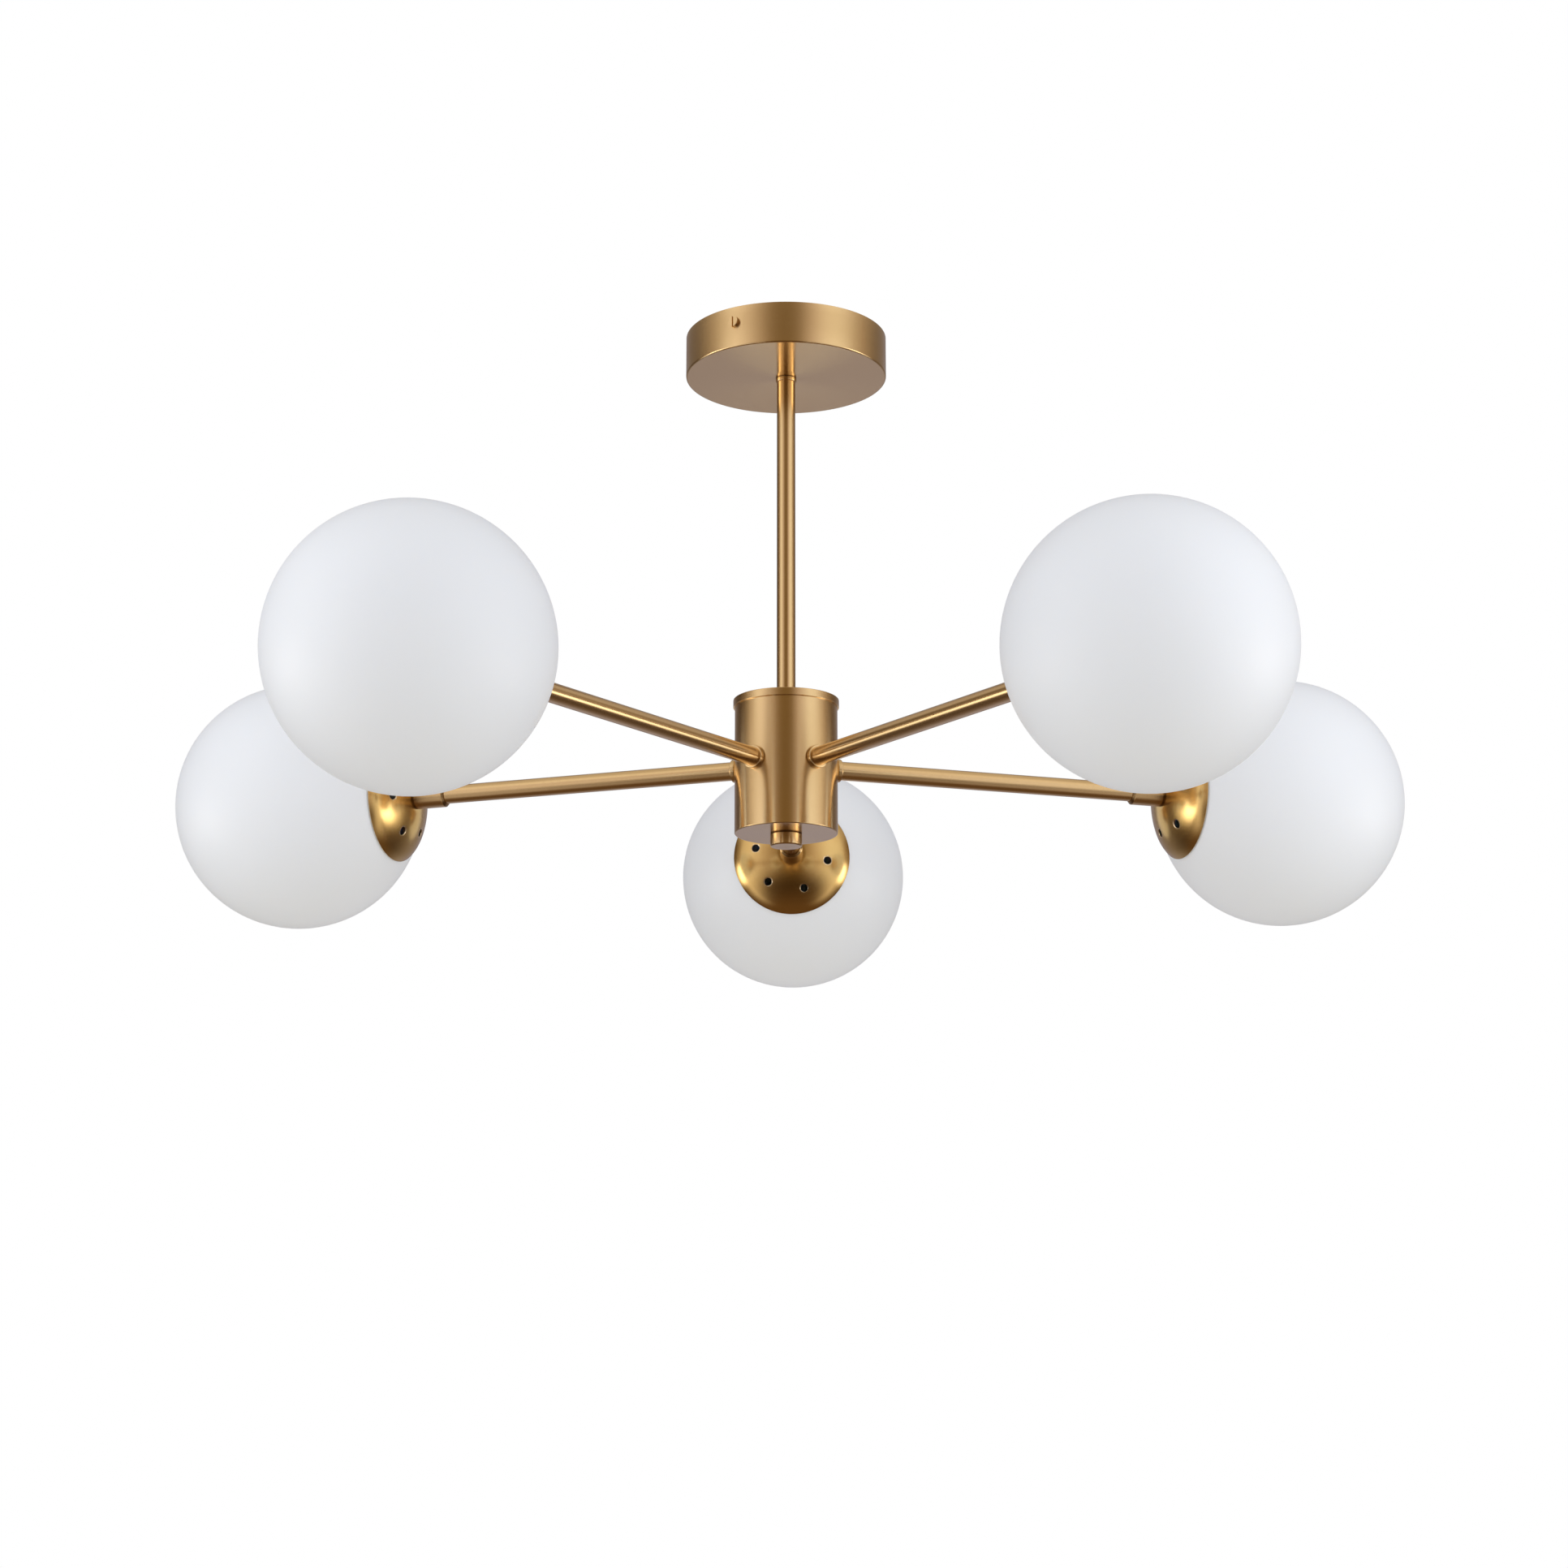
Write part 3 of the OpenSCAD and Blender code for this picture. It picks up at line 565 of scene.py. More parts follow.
# The spun brass's near-white edge colour paints a highlight on the cups' rims and vent lips.
SPUN_BRASS = brass(
    "spun brass", light=(0.82, 0.57, 0.24), dark=(0.72, 0.46, 0.15), wear_and_painted_light=(0.98, 0.90, 0.76), roughness=0.2,
    stretch=0.2, mark_depth=0.0006 * mm, mark_tone=0.2, lines=4000.0, breaks=2.0)
BARE_BRASS = brass(
    "bare brass", light=(0.80, 0.62, 0.32), dark=(0.68, 0.50, 0.24), wear_and_painted_light=(0.90, 0.70, 0.36), roughness=0.22,
    stretch=0.4, mark_depth=0.001 * mm, mark_tone=0.3, lines=5000.0, breaks=2.0)
print("brass materials:", TURNED_BRASS.name, SPUN_BRASS.name, BARE_BRASS.name)

# %% [markdown]
# ## Plated steel, opal glass and plastics
#
# The other materials share one build: a mottled tone, a fine skin that drives roughness and bump, and
# lighter edges. Opal glass is milk white all through: most light scatters just under its satin skin.

# %% Make the plated, glass and plastic materials
def mottled(name, light, dark, patches, skin, polish, rough, bump, **constants):
    """patches and skin are (patches per metre, contrast), and polish is (amount, gain) for the edges.

    rough holds the roughness at the low and the high end of the skin, and bump is (strength, distance).
    """
    material, tree, shader = new_material(name, **constants)
    surface = mottling(tree, *skin)
    edges = use_group(tree, EDGE_POLISH_AND_SHADE, Amount=polish[0])["Mask"]
    colour = mix_colours(tree, mottling(tree, *patches), dark, light)
    colour = mix_colours(tree, edges, colour, tuple(min(1.0, v * polish[1]) for v in light))
    height = add(tree, "Bump", {"Height": surface, "Strength": bump[0], "Distance": bump[1]})
    fill(tree, shader, {"Base Color": colour, "Roughness": remap(tree, surface, *rough),
                        "Normal": height.outputs[0]})
    return material


def plated(name, light, dark, rough, patches):
    return mottled(name, light, dark, (patches, 2.2), (patches, 2.2), (0.8, 1.15), rough, (1.0, 0.006 * mm),
                   Metallic=1.0)


def milk_glass(name, light, dark, rough, scatter, reach):
    return mottled(name, light, dark, (11.0, 1.3), (2600.0, 1.0), (0.0, 1.0), rough, (0.5, 0.004 * mm),
                   IOR=1.5, Subsurface_Weight=scatter, Subsurface_Scale=reach,
                   Subsurface_Radius=(1.0, 0.9, 0.8))


def moulded(name, light, dark, rough=(0.31, 0.43), grain=900.0, depth=0.03 * mm):
    return mottled(name, light, dark, (60.0, 1.6), (grain, 1.0), (0.5, 1.08), rough, (0.6, depth), IOR=1.46)


ZINC = plated("zinc plate", (0.66, 0.67, 0.68), (0.50, 0.51, 0.53), (0.40, 0.27), 420.0)
NICKEL = plated("nickel plate", (0.74, 0.72, 0.68), (0.62, 0.60, 0.56), (0.28, 0.15), 160.0)
OPAL = milk_glass("opal glass", (0.84, 0.86, 0.905), (0.825, 0.845, 0.895), (0.39, 0.47), 0.25, 2.0 * mm)
FROSTED = milk_glass("frosted bulb glass", (0.90, 0.90, 0.88), (0.86, 0.86, 0.84), (0.32, 0.40), 0.2, mm)
WHITE_PLASTIC = moulded(
    "white moulded plastic", (0.80, 0.79, 0.75), (0.74, 0.73, 0.69), (0.37, 0.49), 1400.0, 0.02 * mm)
BROWN_LEAD = moulded("brown insulation", (0.23, 0.10, 0.04), (0.17, 0.07, 0.03))
BLUE_LEAD = moulded("blue insulation", (0.05, 0.20, 0.52), (0.04, 0.15, 0.42))
EARTH_LEAD = moulded("green insulation", (0.20, 0.48, 0.08), (0.14, 0.38, 0.06))
print("materials:", [material.name for material in bpy.data.materials])

# %% [markdown]
# ## Canopy, collar and stem
#
# The canopy is a shallow drum pressed from sheet. The radius of its lower edge draws the pale line round
# its foot, and each side hole lets a slotted screw through.

# %% Build the canopy, the collar and the stem
canopy_low, canopy_high = height_of("canopy")
canopy_radius = radius_of("canopy")
collar_low, collar_high = height_of("stem_collar")
collar_r = radius_of("stem_collar")
stem_low, stem_high = height_of("stem")
STRAP_TURN = math.radians(60.5)
SCREW_DROP = 9.5 * mm
CLEAR_BORE = 4.1 * mm
TUBE_BORE = 4.05 * mm


def tube(name, radius, low, high):
    return turned(name, softened([
        (TUBE_BORE, low, 0.1 * mm), (radius, low, 0.15 * mm),
        (radius, high, 0.15 * mm), (TUBE_BORE, high, 0.1 * mm)]))


def settle_brass(piece, matrix, node, body=BODY):
    settle(dress(piece, TURNED_BRASS), matrix, body, "brushed_brass", node)


canopy = drum(
    "canopy_shell", canopy_radius, canopy_low, canopy_high, wall=1.2 * mm, edge_r=1.0 * mm, bore=CLEAR_BORE,
    hole_t=canopy_high - SCREW_DROP, hole_r=2.1 * mm, first_hole=STRAP_TURN, holes=2, half_cell=2, around=120)
settle_brass(canopy, UPRIGHT, "canopy")

# The top of the collar, where it meets the canopy, is darkened with painted shade.
collar = turned("collar_turned", in_joints(softened([
    (CLEAR_BORE, collar_low, 0.1 * mm), (collar_r, collar_low, 0.5 * mm),
    (collar_r, collar_high - 0.8 * mm, 0), (collar_r, collar_high, 0.2 * mm),
    (CLEAR_BORE, collar_high, 0.1 * mm)]),
    collar_low, collar_high - 0.5 * mm))
settle_brass(collar, UPRIGHT, "stem_collar")

settle_brass(tube("stem_tube", radius_of("stem"), stem_low, stem_high), UPRIGHT, "stem")
print("canopy", round(2 * canopy_radius / mm), "mm wide, stem", round((stem_high - stem_low) / mm, 1), "long")

# %% [markdown]
# ## Hub, cap and finial
#
# The hub is a second drum with five holes for the arms. The lip of its lid stands a little proud and throws
# a thin dark line on the drum. The finial is one turned knob with a small chamfer.

# %% Build the hub
hub_low, hub_high = height_of("hub_body")
cap_low, cap_high = height_of("hub_cap")
cap_radius = radius_of("hub_cap")
finial_low, finial_high = height_of("finial")
finial_r = radius_of("finial")
SLIP = 0.05 * mm

hub = drum(
    "hub_shell", hub_radius, hub_low, hub_high, wall=1.5 * mm, edge_r=0.6 * mm, bore=3.1 * mm,
    hole_t=arm_height, hole_r=CLEAR_BORE, first_hole=FIRST_ARM, holes=len(PLACES), half_cell=4, around=100)
settle_brass(hub, UPRIGHT, "hub_body")

lid_under = cap_high - 1.5 * mm
lip_r = hub_radius + SLIP
cap = turned("hub_lid", softened([
    (CLEAR_BORE, lid_under, 0), (CLEAR_BORE, cap_high, 0.1 * mm), (cap_radius, cap_high, 0.4 * mm),
    (cap_radius, cap_low, 0.25 * mm), (lip_r, cap_low, 0.15 * mm), (lip_r, lid_under, 0)]), around=128)
settle_brass(cap, UPRIGHT, "hub_cap")

ROD_HOLE = 3.05 * mm
CHAMFER = 0.7 * mm
rod_hole_end = finial_high - 5.5 * mm
# The top of the finial, where it meets the hub, is darkened with painted shade.
finial = turned("finial_knob", in_joints(softened([
    (0, rod_hole_end, 0), (0, finial_low, 0), (finial_r - CHAMFER, finial_low, 0.2 * mm),
    (finial_r, finial_low + CHAMFER, 0.2 * mm), (finial_r, finial_high - 0.9 * mm, 0),
    (finial_r, finial_high - 0.6 * mm, 0), (finial_r, finial_high, 0.5 * mm),
    (ROD_HOLE, finial_high, 0.15 * mm), (ROD_HOLE, rod_hole_end, 0)]), finial_low, finial_high - 0.7 * mm))
settle_brass(finial, UPRIGHT, "finial", body="finial")
print("hub", round(2 * hub_radius / mm), "mm wide,", round((cap_high - hub_low) / mm), "mm high")

# %% [markdown]
# ## Arms and sleeves
#
# Each arm is a straight tube, with a small ring whose foot lies on the hub's round wall. The sleeve at the
# outer end has a chamfer towards the hub, which is a bright ring in most light. Both ends of the sleeve,
# most of the chamfer included, are darkened with painted shade where they meet the arm and the cup.

# %% Build the arms, their rings and the sleeves
arm_start, arm_end = reach_of("arm_back")
sleeve_start, sleeve_end = reach_of("sleeve_back")
tube_r = radius_of("arm_back")
sleeve_r = radius_of("sleeve_back")
ring_low, ring_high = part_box("arm_rings")
ring_r = (ring_high.z - ring_low.z) / 2
ring_root = hub_radius + 0.8 * mm
socket_r, socket_end = tube_r + SLIP, sleeve_start + 10 * mm
RING_SIDES = 72
SLEEVE_CHAMFER = 1.3 * mm


def saddle_ring(name):
    """A ring whose foot lies on the hub's round wall. Local X points down, along the hub's axis."""
    def foot_row(radius):
        level = ring_row(radius, 0, 0.0, RING_SIDES)
        return [((x, y, math.sqrt(hub_radius ** 2 - y ** 2)), edge) for (x, y, _), edge in level]

    patches = Patches()
    top = softened([(CLEAR_BORE, ring_root, 0), (CLEAR_BORE, arm_start, 0.1 * mm),
                    (ring_r, arm_start, 0.5 * mm), (ring_r, ring_root, 0)])
    rows = [foot_row(CLEAR_BORE)] + [ring_row(*point, RING_SIDES) for point in top]
    patches.rows(rows + [foot_row(ring_r), foot_row(CLEAR_BORE)], closed=True)
    return patches.mesh(name)


def sleeve(name):
    # Both ends of a sleeve are darkened with painted shade.
    return turned(name, in_joints(softened([
        (socket_r, sleeve_start, 0.35 * mm), (sleeve_r - SLEEVE_CHAMFER, sleeve_start, 0.25 * mm),
        (sleeve_r - 0.3 * mm, sleeve_start + 1.0 * mm, 0),
        (sleeve_r, sleeve_start + SLEEVE_CHAMFER, 0.15 * mm),
        (sleeve_r, sleeve_end - 1.2 * mm, 0), (sleeve_r, sleeve_end - 0.7 * mm, 0),
        (sleeve_r, sleeve_end, 0.2 * mm), (TUBE_BORE, sleeve_end, 0.1 * mm), (TUBE_BORE, socket_end, 0),
        (socket_r, socket_end, 0)]), sleeve_start + 1.05 * mm, sleeve_end - 0.8 * mm))


for place in PLACES:
    where = on_arm(place)
    settle_brass(saddle_ring("arm_ring_" + place), where, "arm_rings")
    settle_brass(tube("arm_tube_" + place, tube_r, arm_start, arm_end), where, "arm_" + place)
    settle_brass(sleeve("sleeve_turned_" + place), where, "sleeve_" + place)
print("arms", round((arm_end - arm_start) / mm, 1), "mm long, sleeves", round(2 * sleeve_r / mm, 1), "wide")

# %% [markdown]
# ## Cups
#
# A cup is spun from sheet: a flat seat for the sleeve, a wide crown arc, a tighter arc towards the rim, and
# a rim just short of the globe. Both faces are heights over the radius, so the vents can be drawn parallel
# to the arm, as a punch would cut them. Each cup's vents lie at another angle.

# %% Work out the two faces of a cup
globe_centre = reach_of("globe_back")[1] - globe_radius
CROWN_R = 62 * mm
EDGE_R = 20 * mm
BLEND_R = 32.85 * mm
SHEET = 1.0 * mm
SEAT_R = 8 * mm
cup_radius = radius_of("cup_back")
RIM_SPHERE = globe_radius + 0.4 * mm
HALVINGS = 60
blend = math.asin(BLEND_R / CROWN_R)
edge_r0 = (CROWN_R - EDGE_R) * math.sin(blend)
rim_s = globe_centre - math.sqrt(RIM_SPHERE ** 2 - cup_radius ** 2)
edge_s = rim_s + math.sqrt(EDGE_R ** 2 - (cup_radius - edge_r0) ** 2)
apex = edge_s - CROWN_R + (CROWN_R - EDGE_R) * math.cos(blend)
seat_s = apex + CROWN_R - math.sqrt(CROWN_R ** 2 - SEAT_R ** 2)


def cup_height(radius, inset):
    """How far along the arm a face lies at a radius; inset is 0 outside and the sheet inside."""
    if radius <= (CROWN_R - inset) * math.sin(blend):
        return max(
            apex + CROWN_R - math.sqrt((CROWN_R - inset) ** 2 - radius ** 2),
            apex + CROWN_R - (CROWN_R - inset) * math.cos(math.asin(SEAT_R / CROWN_R)))
    return edge_s - math.sqrt((EDGE_R - inset) ** 2 - (radius - edge_r0) ** 2)


def rim_radius(inset):
    """Where a face of the cup ends, on the sphere just outside the globe."""
    low, high = BLEND_R, edge_r0 + EDGE_R - inset
    for _ in range(HALVINGS):
        middle = (low + high) / 2
        gap = math.hypot(middle, cup_height(middle, inset) - globe_centre) - RIM_SPHERE
        low, high = (middle, high) if gap > 0 else (low, middle)
    return low


print("cup from", round(apex / mm, 2), "to", round(rim_s / mm, 2), "mm along the arm")

# %% Build the cups with their vents
CUP_AROUND = 144
BAND = (19.5 * mm, 28.5 * mm)
VENT_CIRCLE, VENT_R, VENT_LIP = 24 * mm, 2.4 * mm, 0.48 * mm
VENT_TURNS = dict(zip(PLACES, (40, 29, 15, 45, 21)))
VENTS = 6


def cup_rows(start, end, steps, inset):
    return [plain(r, cup_height(r, inset)) for r in spaced(start, end, steps)]


def cup(name, vent_turn):
    patches = Patches()
    seat_in = cup_height(0, SHEET)
    middle = cup_rows(BAND[0], SEAT_R, 6, 0)
    middle += softened([middle[-1], (CLEAR_BORE, seat_s, 0.1 * mm), (CLEAR_BORE, seat_in, 0.1 * mm),
                        (SEAT_R * 0.9, seat_in, 0)])[1:]
    patches.turn(middle + cup_rows(SEAT_R, BAND[0], 6, SHEET), CUP_AROUND, vent_turn)
    outside = cup_rows(BAND[1], rim_radius(0), 14, 0)
    inside = cup_rows(rim_radius(SHEET), BAND[1], 14, SHEET)
    rim = softened([outside[-2], outside[-1][:2] + (0.3 * mm,), inside[0][:2] + (0.2 * mm,), inside[1]])
    patches.turn(outside[:-1] + rim[1:-1] + inside[1:], CUP_AROUND, vent_turn)

    def face(inset):
        return lambda turn, r: (r * math.cos(turn), r * math.sin(turn), cup_height(r, inset))

    def to_flat(turn, r, centre):
        a = turn - centre[0]
        return r * math.sin(a), r * math.cos(a) - centre[1]

    def to_param(x, y, centre):
        y += centre[1]
        return centre[0] + math.atan2(x, y), math.hypot(x, y)

    pierced_band(patches, (face(0), face(SHEET)), BAND, CUP_AROUND, vent_turn, VENTS, half_cell=6, up=8,
                 hole=(VENT_CIRCLE, VENT_R, VENT_LIP), maps=(to_param, to_flat))
    return patches.mesh(name)


for place in PLACES:
    shape = cup("cup_spun_" + place, math.radians(VENT_TURNS[place]))
    settle(dress(shape, SPUN_BRASS), on_arm(place), BODY, "satin_brass", "cup_" + place)
print("cups of", len(shape.data.polygons), "faces with", VENTS, "vents each")

# %% [markdown]
# ## Globes
#
# A globe is blown: a hollow ball whose opening turns inwards to a short neck, which screws onto the ring in
# the cup. The neck's edges are fire polished, so they are round.

# %% Build the globes
GLASS = 2.5 * mm
NECK_R = 30.3 * mm
NECK_WALL = 2.8 * mm
NECK_REACH = 20 * mm
GLOBE_STEPS = 60
GLOBE_AROUND = 112
neck_end = apex + NECK_REACH


def unmarked(section):
    """Glass has no polished edges."""
    return [plain(r, s) for r, s, _ in section]


def globe(name):
    inner = globe_radius - GLASS
    neck_outer = NECK_R + NECK_WALL
    opening = math.degrees(math.asin(NECK_R / globe_radius))
    inner_start = math.degrees(math.asin(neck_outer / inner))
    outside = arc(globe_centre, globe_radius, opening, 180, GLOBE_STEPS)
    inside = arc(globe_centre, inner, 180, inner_start, GLOBE_STEPS)
    neck = softened([
        inside[-2], inside[-1][:2] + (0.8 * mm,), (neck_outer, neck_end, 1.0 * mm),
        (NECK_R, neck_end, 1.0 * mm), outside[0][:2] + (0.6 * mm,), outside[1]])
    return turned(name, outside[1:] + inside[:-1] + unmarked(neck[1:-1]), GLOBE_AROUND)


for place in PLACES:
    shape = globe("globe_blown_" + place)
    shape.data.transform(on_arm(place))
    settle(dress(shape, OPAL), UPRIGHT, "globe_" + place, "opal_glass", "globe_" + place)
print("globes of", len(shape.data.polygons), "faces,", round(2 * globe_radius / mm), "mm across")

# %% [markdown]
# ## Rolled threads
#
# The ring that holds a globe and the metal cap of a bulb are thin sheet with a rolled thread: both faces
# follow one wave, which moves on by a pitch for each turn and dies out towards the ends.

# %% Make rolled threads
STEPS_PER_PITCH = 8


def rolled(name, radius, wall, low, high, pitch, depth, around, tail=()):
    """A thin threaded sleeve about local Z; tail is a section that closes one end."""
    def row(s, inset):
        points = []
        fade = min(1.0, (s - low) / pitch, (high - s) / pitch)
        for k in range(around):
            a = 2 * math.pi * k / around
            wave = 0.5 - 0.5 * math.cos(2 * math.pi * (s / pitch - k / around))
            r = radius - inset - depth * fade * wave
            points.append(((r * math.cos(a), r * math.sin(a), s), 1.0 - wave * fade))
        return points

    patches = Patches()
    heights = spaced(low, high, max(8, round((high - low) / pitch * STEPS_PER_PITCH)))
    rows = [row(s, 0) for s in heights] + [row(s, wall) for s in reversed(heights)]
    rows += [ring_row(*point, around) for point in tail]
    patches.rows(rows + rows[:1], closed=True)
    return patches.mesh(name)


HOLDER_RING_R = 30.0 * mm
HOLDER_RING_WALL = 0.9 * mm
NECK_PITCH, NECK_THREAD = 4.0 * mm, 0.3 * mm
ring_foot = cup_height(HOLDER_RING_R, SHEET) + 0.003 * mm
for place in PLACES:
    shape = rolled("globe_ring_" + place, HOLDER_RING_R, HOLDER_RING_WALL, ring_foot, neck_end,
                   NECK_PITCH, NECK_THREAD, around=AROUND)
    settle(dress(shape, BARE_BRASS), on_arm(place), BODY, "contact_brass", "globe_rings")
print("globe rings from", round(ring_foot / mm, 2), "to", round(neck_end / mm, 2), "mm along the arm")

# %% [markdown]
# ## Lampholders and bulbs
#
# A lampholder is a moulded sleeve on a narrow foot, with three grip grooves. The bulb is a frosted 45 mm
# ball on a small Edison screw cap.

# %% Build the lampholders and the bulbs
holder_start, holder_end = reach_of("lampholder_back")
holder_r = radius_of("lampholder_back")
cap_start, cap_end = reach_of("bulb_cap_back")
bulb_start, bulb_end = reach_of("bulb_glass_back")
ball_r = radius_of("bulb_glass_back")
thread_r = radius_of("bulb_cap_back")
FOOT_R, FOOT_H = 7.5 * mm, 2 * mm
SOCKET_R, CONTACT_HOLE_R = 7.5 * mm, 2.05 * mm
CHAMBER_R, CHAMBER_LOW, CHAMBER_HIGH, PARTITION = 9 * mm, 5 * mm, 13 * mm, 15.5 * mm
GROOVES, GROOVE, FIRST_GROOVE, GROOVE_STEP = 3, 0.35 * mm, 6 * mm, 3 * mm
BULB_WALL, HELD_R, SHOULDER_R = 0.8 * mm, 6.4 * mm, 8.5 * mm
CAP_WALL, CAP_PITCH, CAP_THREAD, CAP_FOOT = 0.3 * mm, 2.82 * mm, 0.5 * mm, 4.8 * mm
BULB_AROUND, CAP_AROUND = 80, 72


def lampholder(name):
    back = holder_start + FOOT_H
    low, high, partition = (holder_start + v for v in (CHAMBER_LOW, CHAMBER_HIGH, PARTITION))
    corners = [(TUBE_BORE, holder_start, 0.15 * mm), (FOOT_R, holder_start, 0.2 * mm),
               (FOOT_R, back, 0.2 * mm), (holder_r, back, 1.0 * mm)]
    for k in reversed(range(GROOVES)):
        s = holder_end - FIRST_GROOVE - GROOVE_STEP * k
        for depth, offset in ((0, -0.6), (GROOVE, -0.3), (GROOVE, 0.3), (0, 0.6)):
            corners.append((holder_r - depth, s + offset * mm, 0.1 * mm))
    corners += [(holder_r, holder_end, 0.8 * mm), (SOCKET_R, holder_end, 0.4 * mm), (SOCKET_R, partition, 0),
                (CONTACT_HOLE_R, partition, 0), (CONTACT_HOLE_R, high, 0), (CHAMBER_R, high, 0),
                (CHAMBER_R, low, 0), (TUBE_BORE, low, 0)]
    return turned(name, softened(corners))


def bulb_glass(name):
    centre = bulb_end - ball_r
    faces = []
    for inset in (0, BULB_WALL):
        held, shoulder, ball = HELD_R - inset, SHOULDER_R - inset, ball_r - inset
        foot = cap_end + inset
        lift = centre - foot
        meet = math.acos(ball / math.hypot(shoulder, lift)) + math.atan2(shoulder, lift)
        row = softened([(held, bulb_start, 0), (held, foot, 0.1 * mm), (shoulder, foot, 0.5 * mm),
                        (ball * math.sin(meet), centre - ball * math.cos(meet), 0)])[:-1]
        faces.append(row + arc(centre, ball, math.degrees(meet), 180, 40))
    return turned(name, unmarked(faces[0] + faces[1][::-1]), BULB_AROUND)


def bulb_cap(name):
    """The threaded sleeve, closed by a cone and the contact button."""
    tail = softened([(r, cap_start + s * mm, rounding * mm) for r, s, rounding in (
        (thread_r - 0.5 * mm, 5.2, 0), (2.1 * mm, 2.3, 0.2), (0, 2.0, 0), (0, 0, 0), (2.4 * mm, 0, 0.7),
        (2.5 * mm, 1.5, 0.1), (thread_r - 0.05 * mm, 4.5, 0.3))])
    return rolled(name, thread_r, CAP_WALL, cap_start + CAP_FOOT, cap_end, CAP_PITCH, CAP_THREAD,
                  CAP_AROUND, tail)


for place in PLACES:
    where = on_arm(place)
    shape = lampholder("lampholder_moulded_" + place)
    settle(dress(shape, WHITE_PLASTIC), where, BODY, "white_plastic", "lampholder_" + place)
    shape = bulb_glass("bulb_ball_" + place)
    settle(dress(shape, FROSTED), where, "bulb_" + place, "bulb_glass", "bulb_glass_" + place)
    shape = bulb_cap("bulb_screw_cap_" + place)
    settle(dress(shape, NICKEL), where, "bulb_" + place, "plated_steel", "bulb_cap_" + place)
print("bulbs", round((bulb_end - cap_start) / mm, 1), "mm long, holders", round(2 * holder_r / mm), "wide")

# %% [markdown]
# ## Small hardware and leads
#
# The pieces that stay as the solids made them get a weld, a narrow bevel on their sharp edges, and their
# material. The leads get a subdivision surface, which makes their eight sides round.

# %% Dress the pieces that stay
BEVEL_WIDTHS = (
    (ZINC, {"ceiling_bracket": 0.3, "terminal_screws": 0.1, "nipples": 0.2, "hex_nuts": 0.3, "washers": 0.15,
            "hub_yoke": 0.3, "tie_rod": 0.3}),
    (TURNED_BRASS, {"canopy_screw_front": 0.3, "canopy_screw_back": 0.3}),
    (BARE_BRASS, {"earth_screw": 0.25, "holder_shells": 0.08, "holder_contacts": 0.25}),
    (WHITE_PLASTIC, {"terminal_block": 0.4, "junction_block": 0.5}),
)
LEADS = {"live_leads": BROWN_LEAD, "neutral_leads": BLUE_LEAD, "earth_lead": EARTH_LEAD}
SHARP = math.radians(32)


def welded(node, material):
    piece = dress(bpy.data.objects[node], material)
    piece.modifiers.new("weld", "WELD").merge_threshold = WELD
    return piece


for material, widths in BEVEL_WIDTHS:
    for node, width in widths.items():
        piece = welded(node, material)
        bevel = piece.modifiers.new("soft edges", "BEVEL")
        bevel.width = width * mm
        bevel.segments = 2
        bevel.limit_method = "ANGLE"
        bevel.angle_limit = SHARP
        piece.modifiers.new("flat flats", "WEIGHTED_NORMAL")
for node, material in LEADS.items():
    welded(node, material).modifiers.new("round", "SUBSURF").render_levels = 2
print(sum(len(widths) for _, widths in BEVEL_WIDTHS), "nodes of hardware and", len(LEADS), "of leads dressed")

# %% [markdown]
# ## Studio: a graded tent
#
# A plain white studio would leave brushed brass flat and pale. Photographers stand dark and grey cards
# round polished metal, and here the cards join into one tent. Its tone changes with the direction from the
# camera: dark beside the lens, white at about 60 degrees to either side, and dark again behind the light.
# It also changes with height, so that a level tube is bright along its middle. A narrow bright strip low on
# each side draws the near-white points on the cups and the fine line along the arms that come forward. The
# tent shows in reflections only.

# %% Write the tent's tones
def tones(*rows):
    """Each row is an angle from the camera and a colour in hundredths."""
    return [(angle, tuple(value / 100 for value in colour)) for angle, *colour in rows]


def mirrored(half):
    """Repeats the tones from 0 to 180 degrees on the other side."""
    return [(-angle, tone) for angle, tone in half[:0:-1]] + half


LEVEL_TONES = tones(
    (-180, 32, 31, 38), (-150, 20, 17, 16), (-124, 4, 2.2, 1.2), (-106, 12, 8, 4.5), (-84, 37, 29, 22),
    (-67, 98, 95, 93), (-53, 98, 93, 93), (-39, 56, 48, 44), (-27, 46, 37, 31), (-15, 22, 14.5, 7),
    (0, 19, 12.5, 5), (14, 22, 14.5, 7), (25, 54, 45, 41), (36, 72, 64, 63), (50, 100, 100, 100),
    (68, 100, 100, 100), (86, 47, 38, 31), (107, 24, 17, 11), (126, 9, 6, 4), (150, 24, 21, 21),
    (180, 32, 31, 38))
LOW_TONES = mirrored(tones(
    (0, 4, 2.2, 1), (22, 5, 3, 1.5), (38, 10, 7, 5), (50, 36, 31, 28), (64, 100, 95, 93),
    (76, 70, 64, 60), (92, 20, 15, 12), (110, 5, 3, 2), (132, 10, 8, 7), (150, 22, 20, 22),
    (168, 36, 35, 44), (180, 40, 39, 50)))
HIGH_TONES = mirrored(tones(
    (0, 20, 15, 9), (24, 42, 36, 30), (40, 92, 86, 80), (60, 98, 93, 88), (84, 66, 60, 52),
    (104, 52, 47, 42), (130, 44, 39, 36), (154, 30, 27, 26), (180, 32, 31, 34)))
TOP_TONE = (0.62, 0.56, 0.47)
BASE_TONE = (0.13, 0.075, 0.035)
LOW_FADE, BASE_FADE, HIGH_FADE, TOP_FADE = (2, -32), (-24, -68), (21, 36), (38, 72)
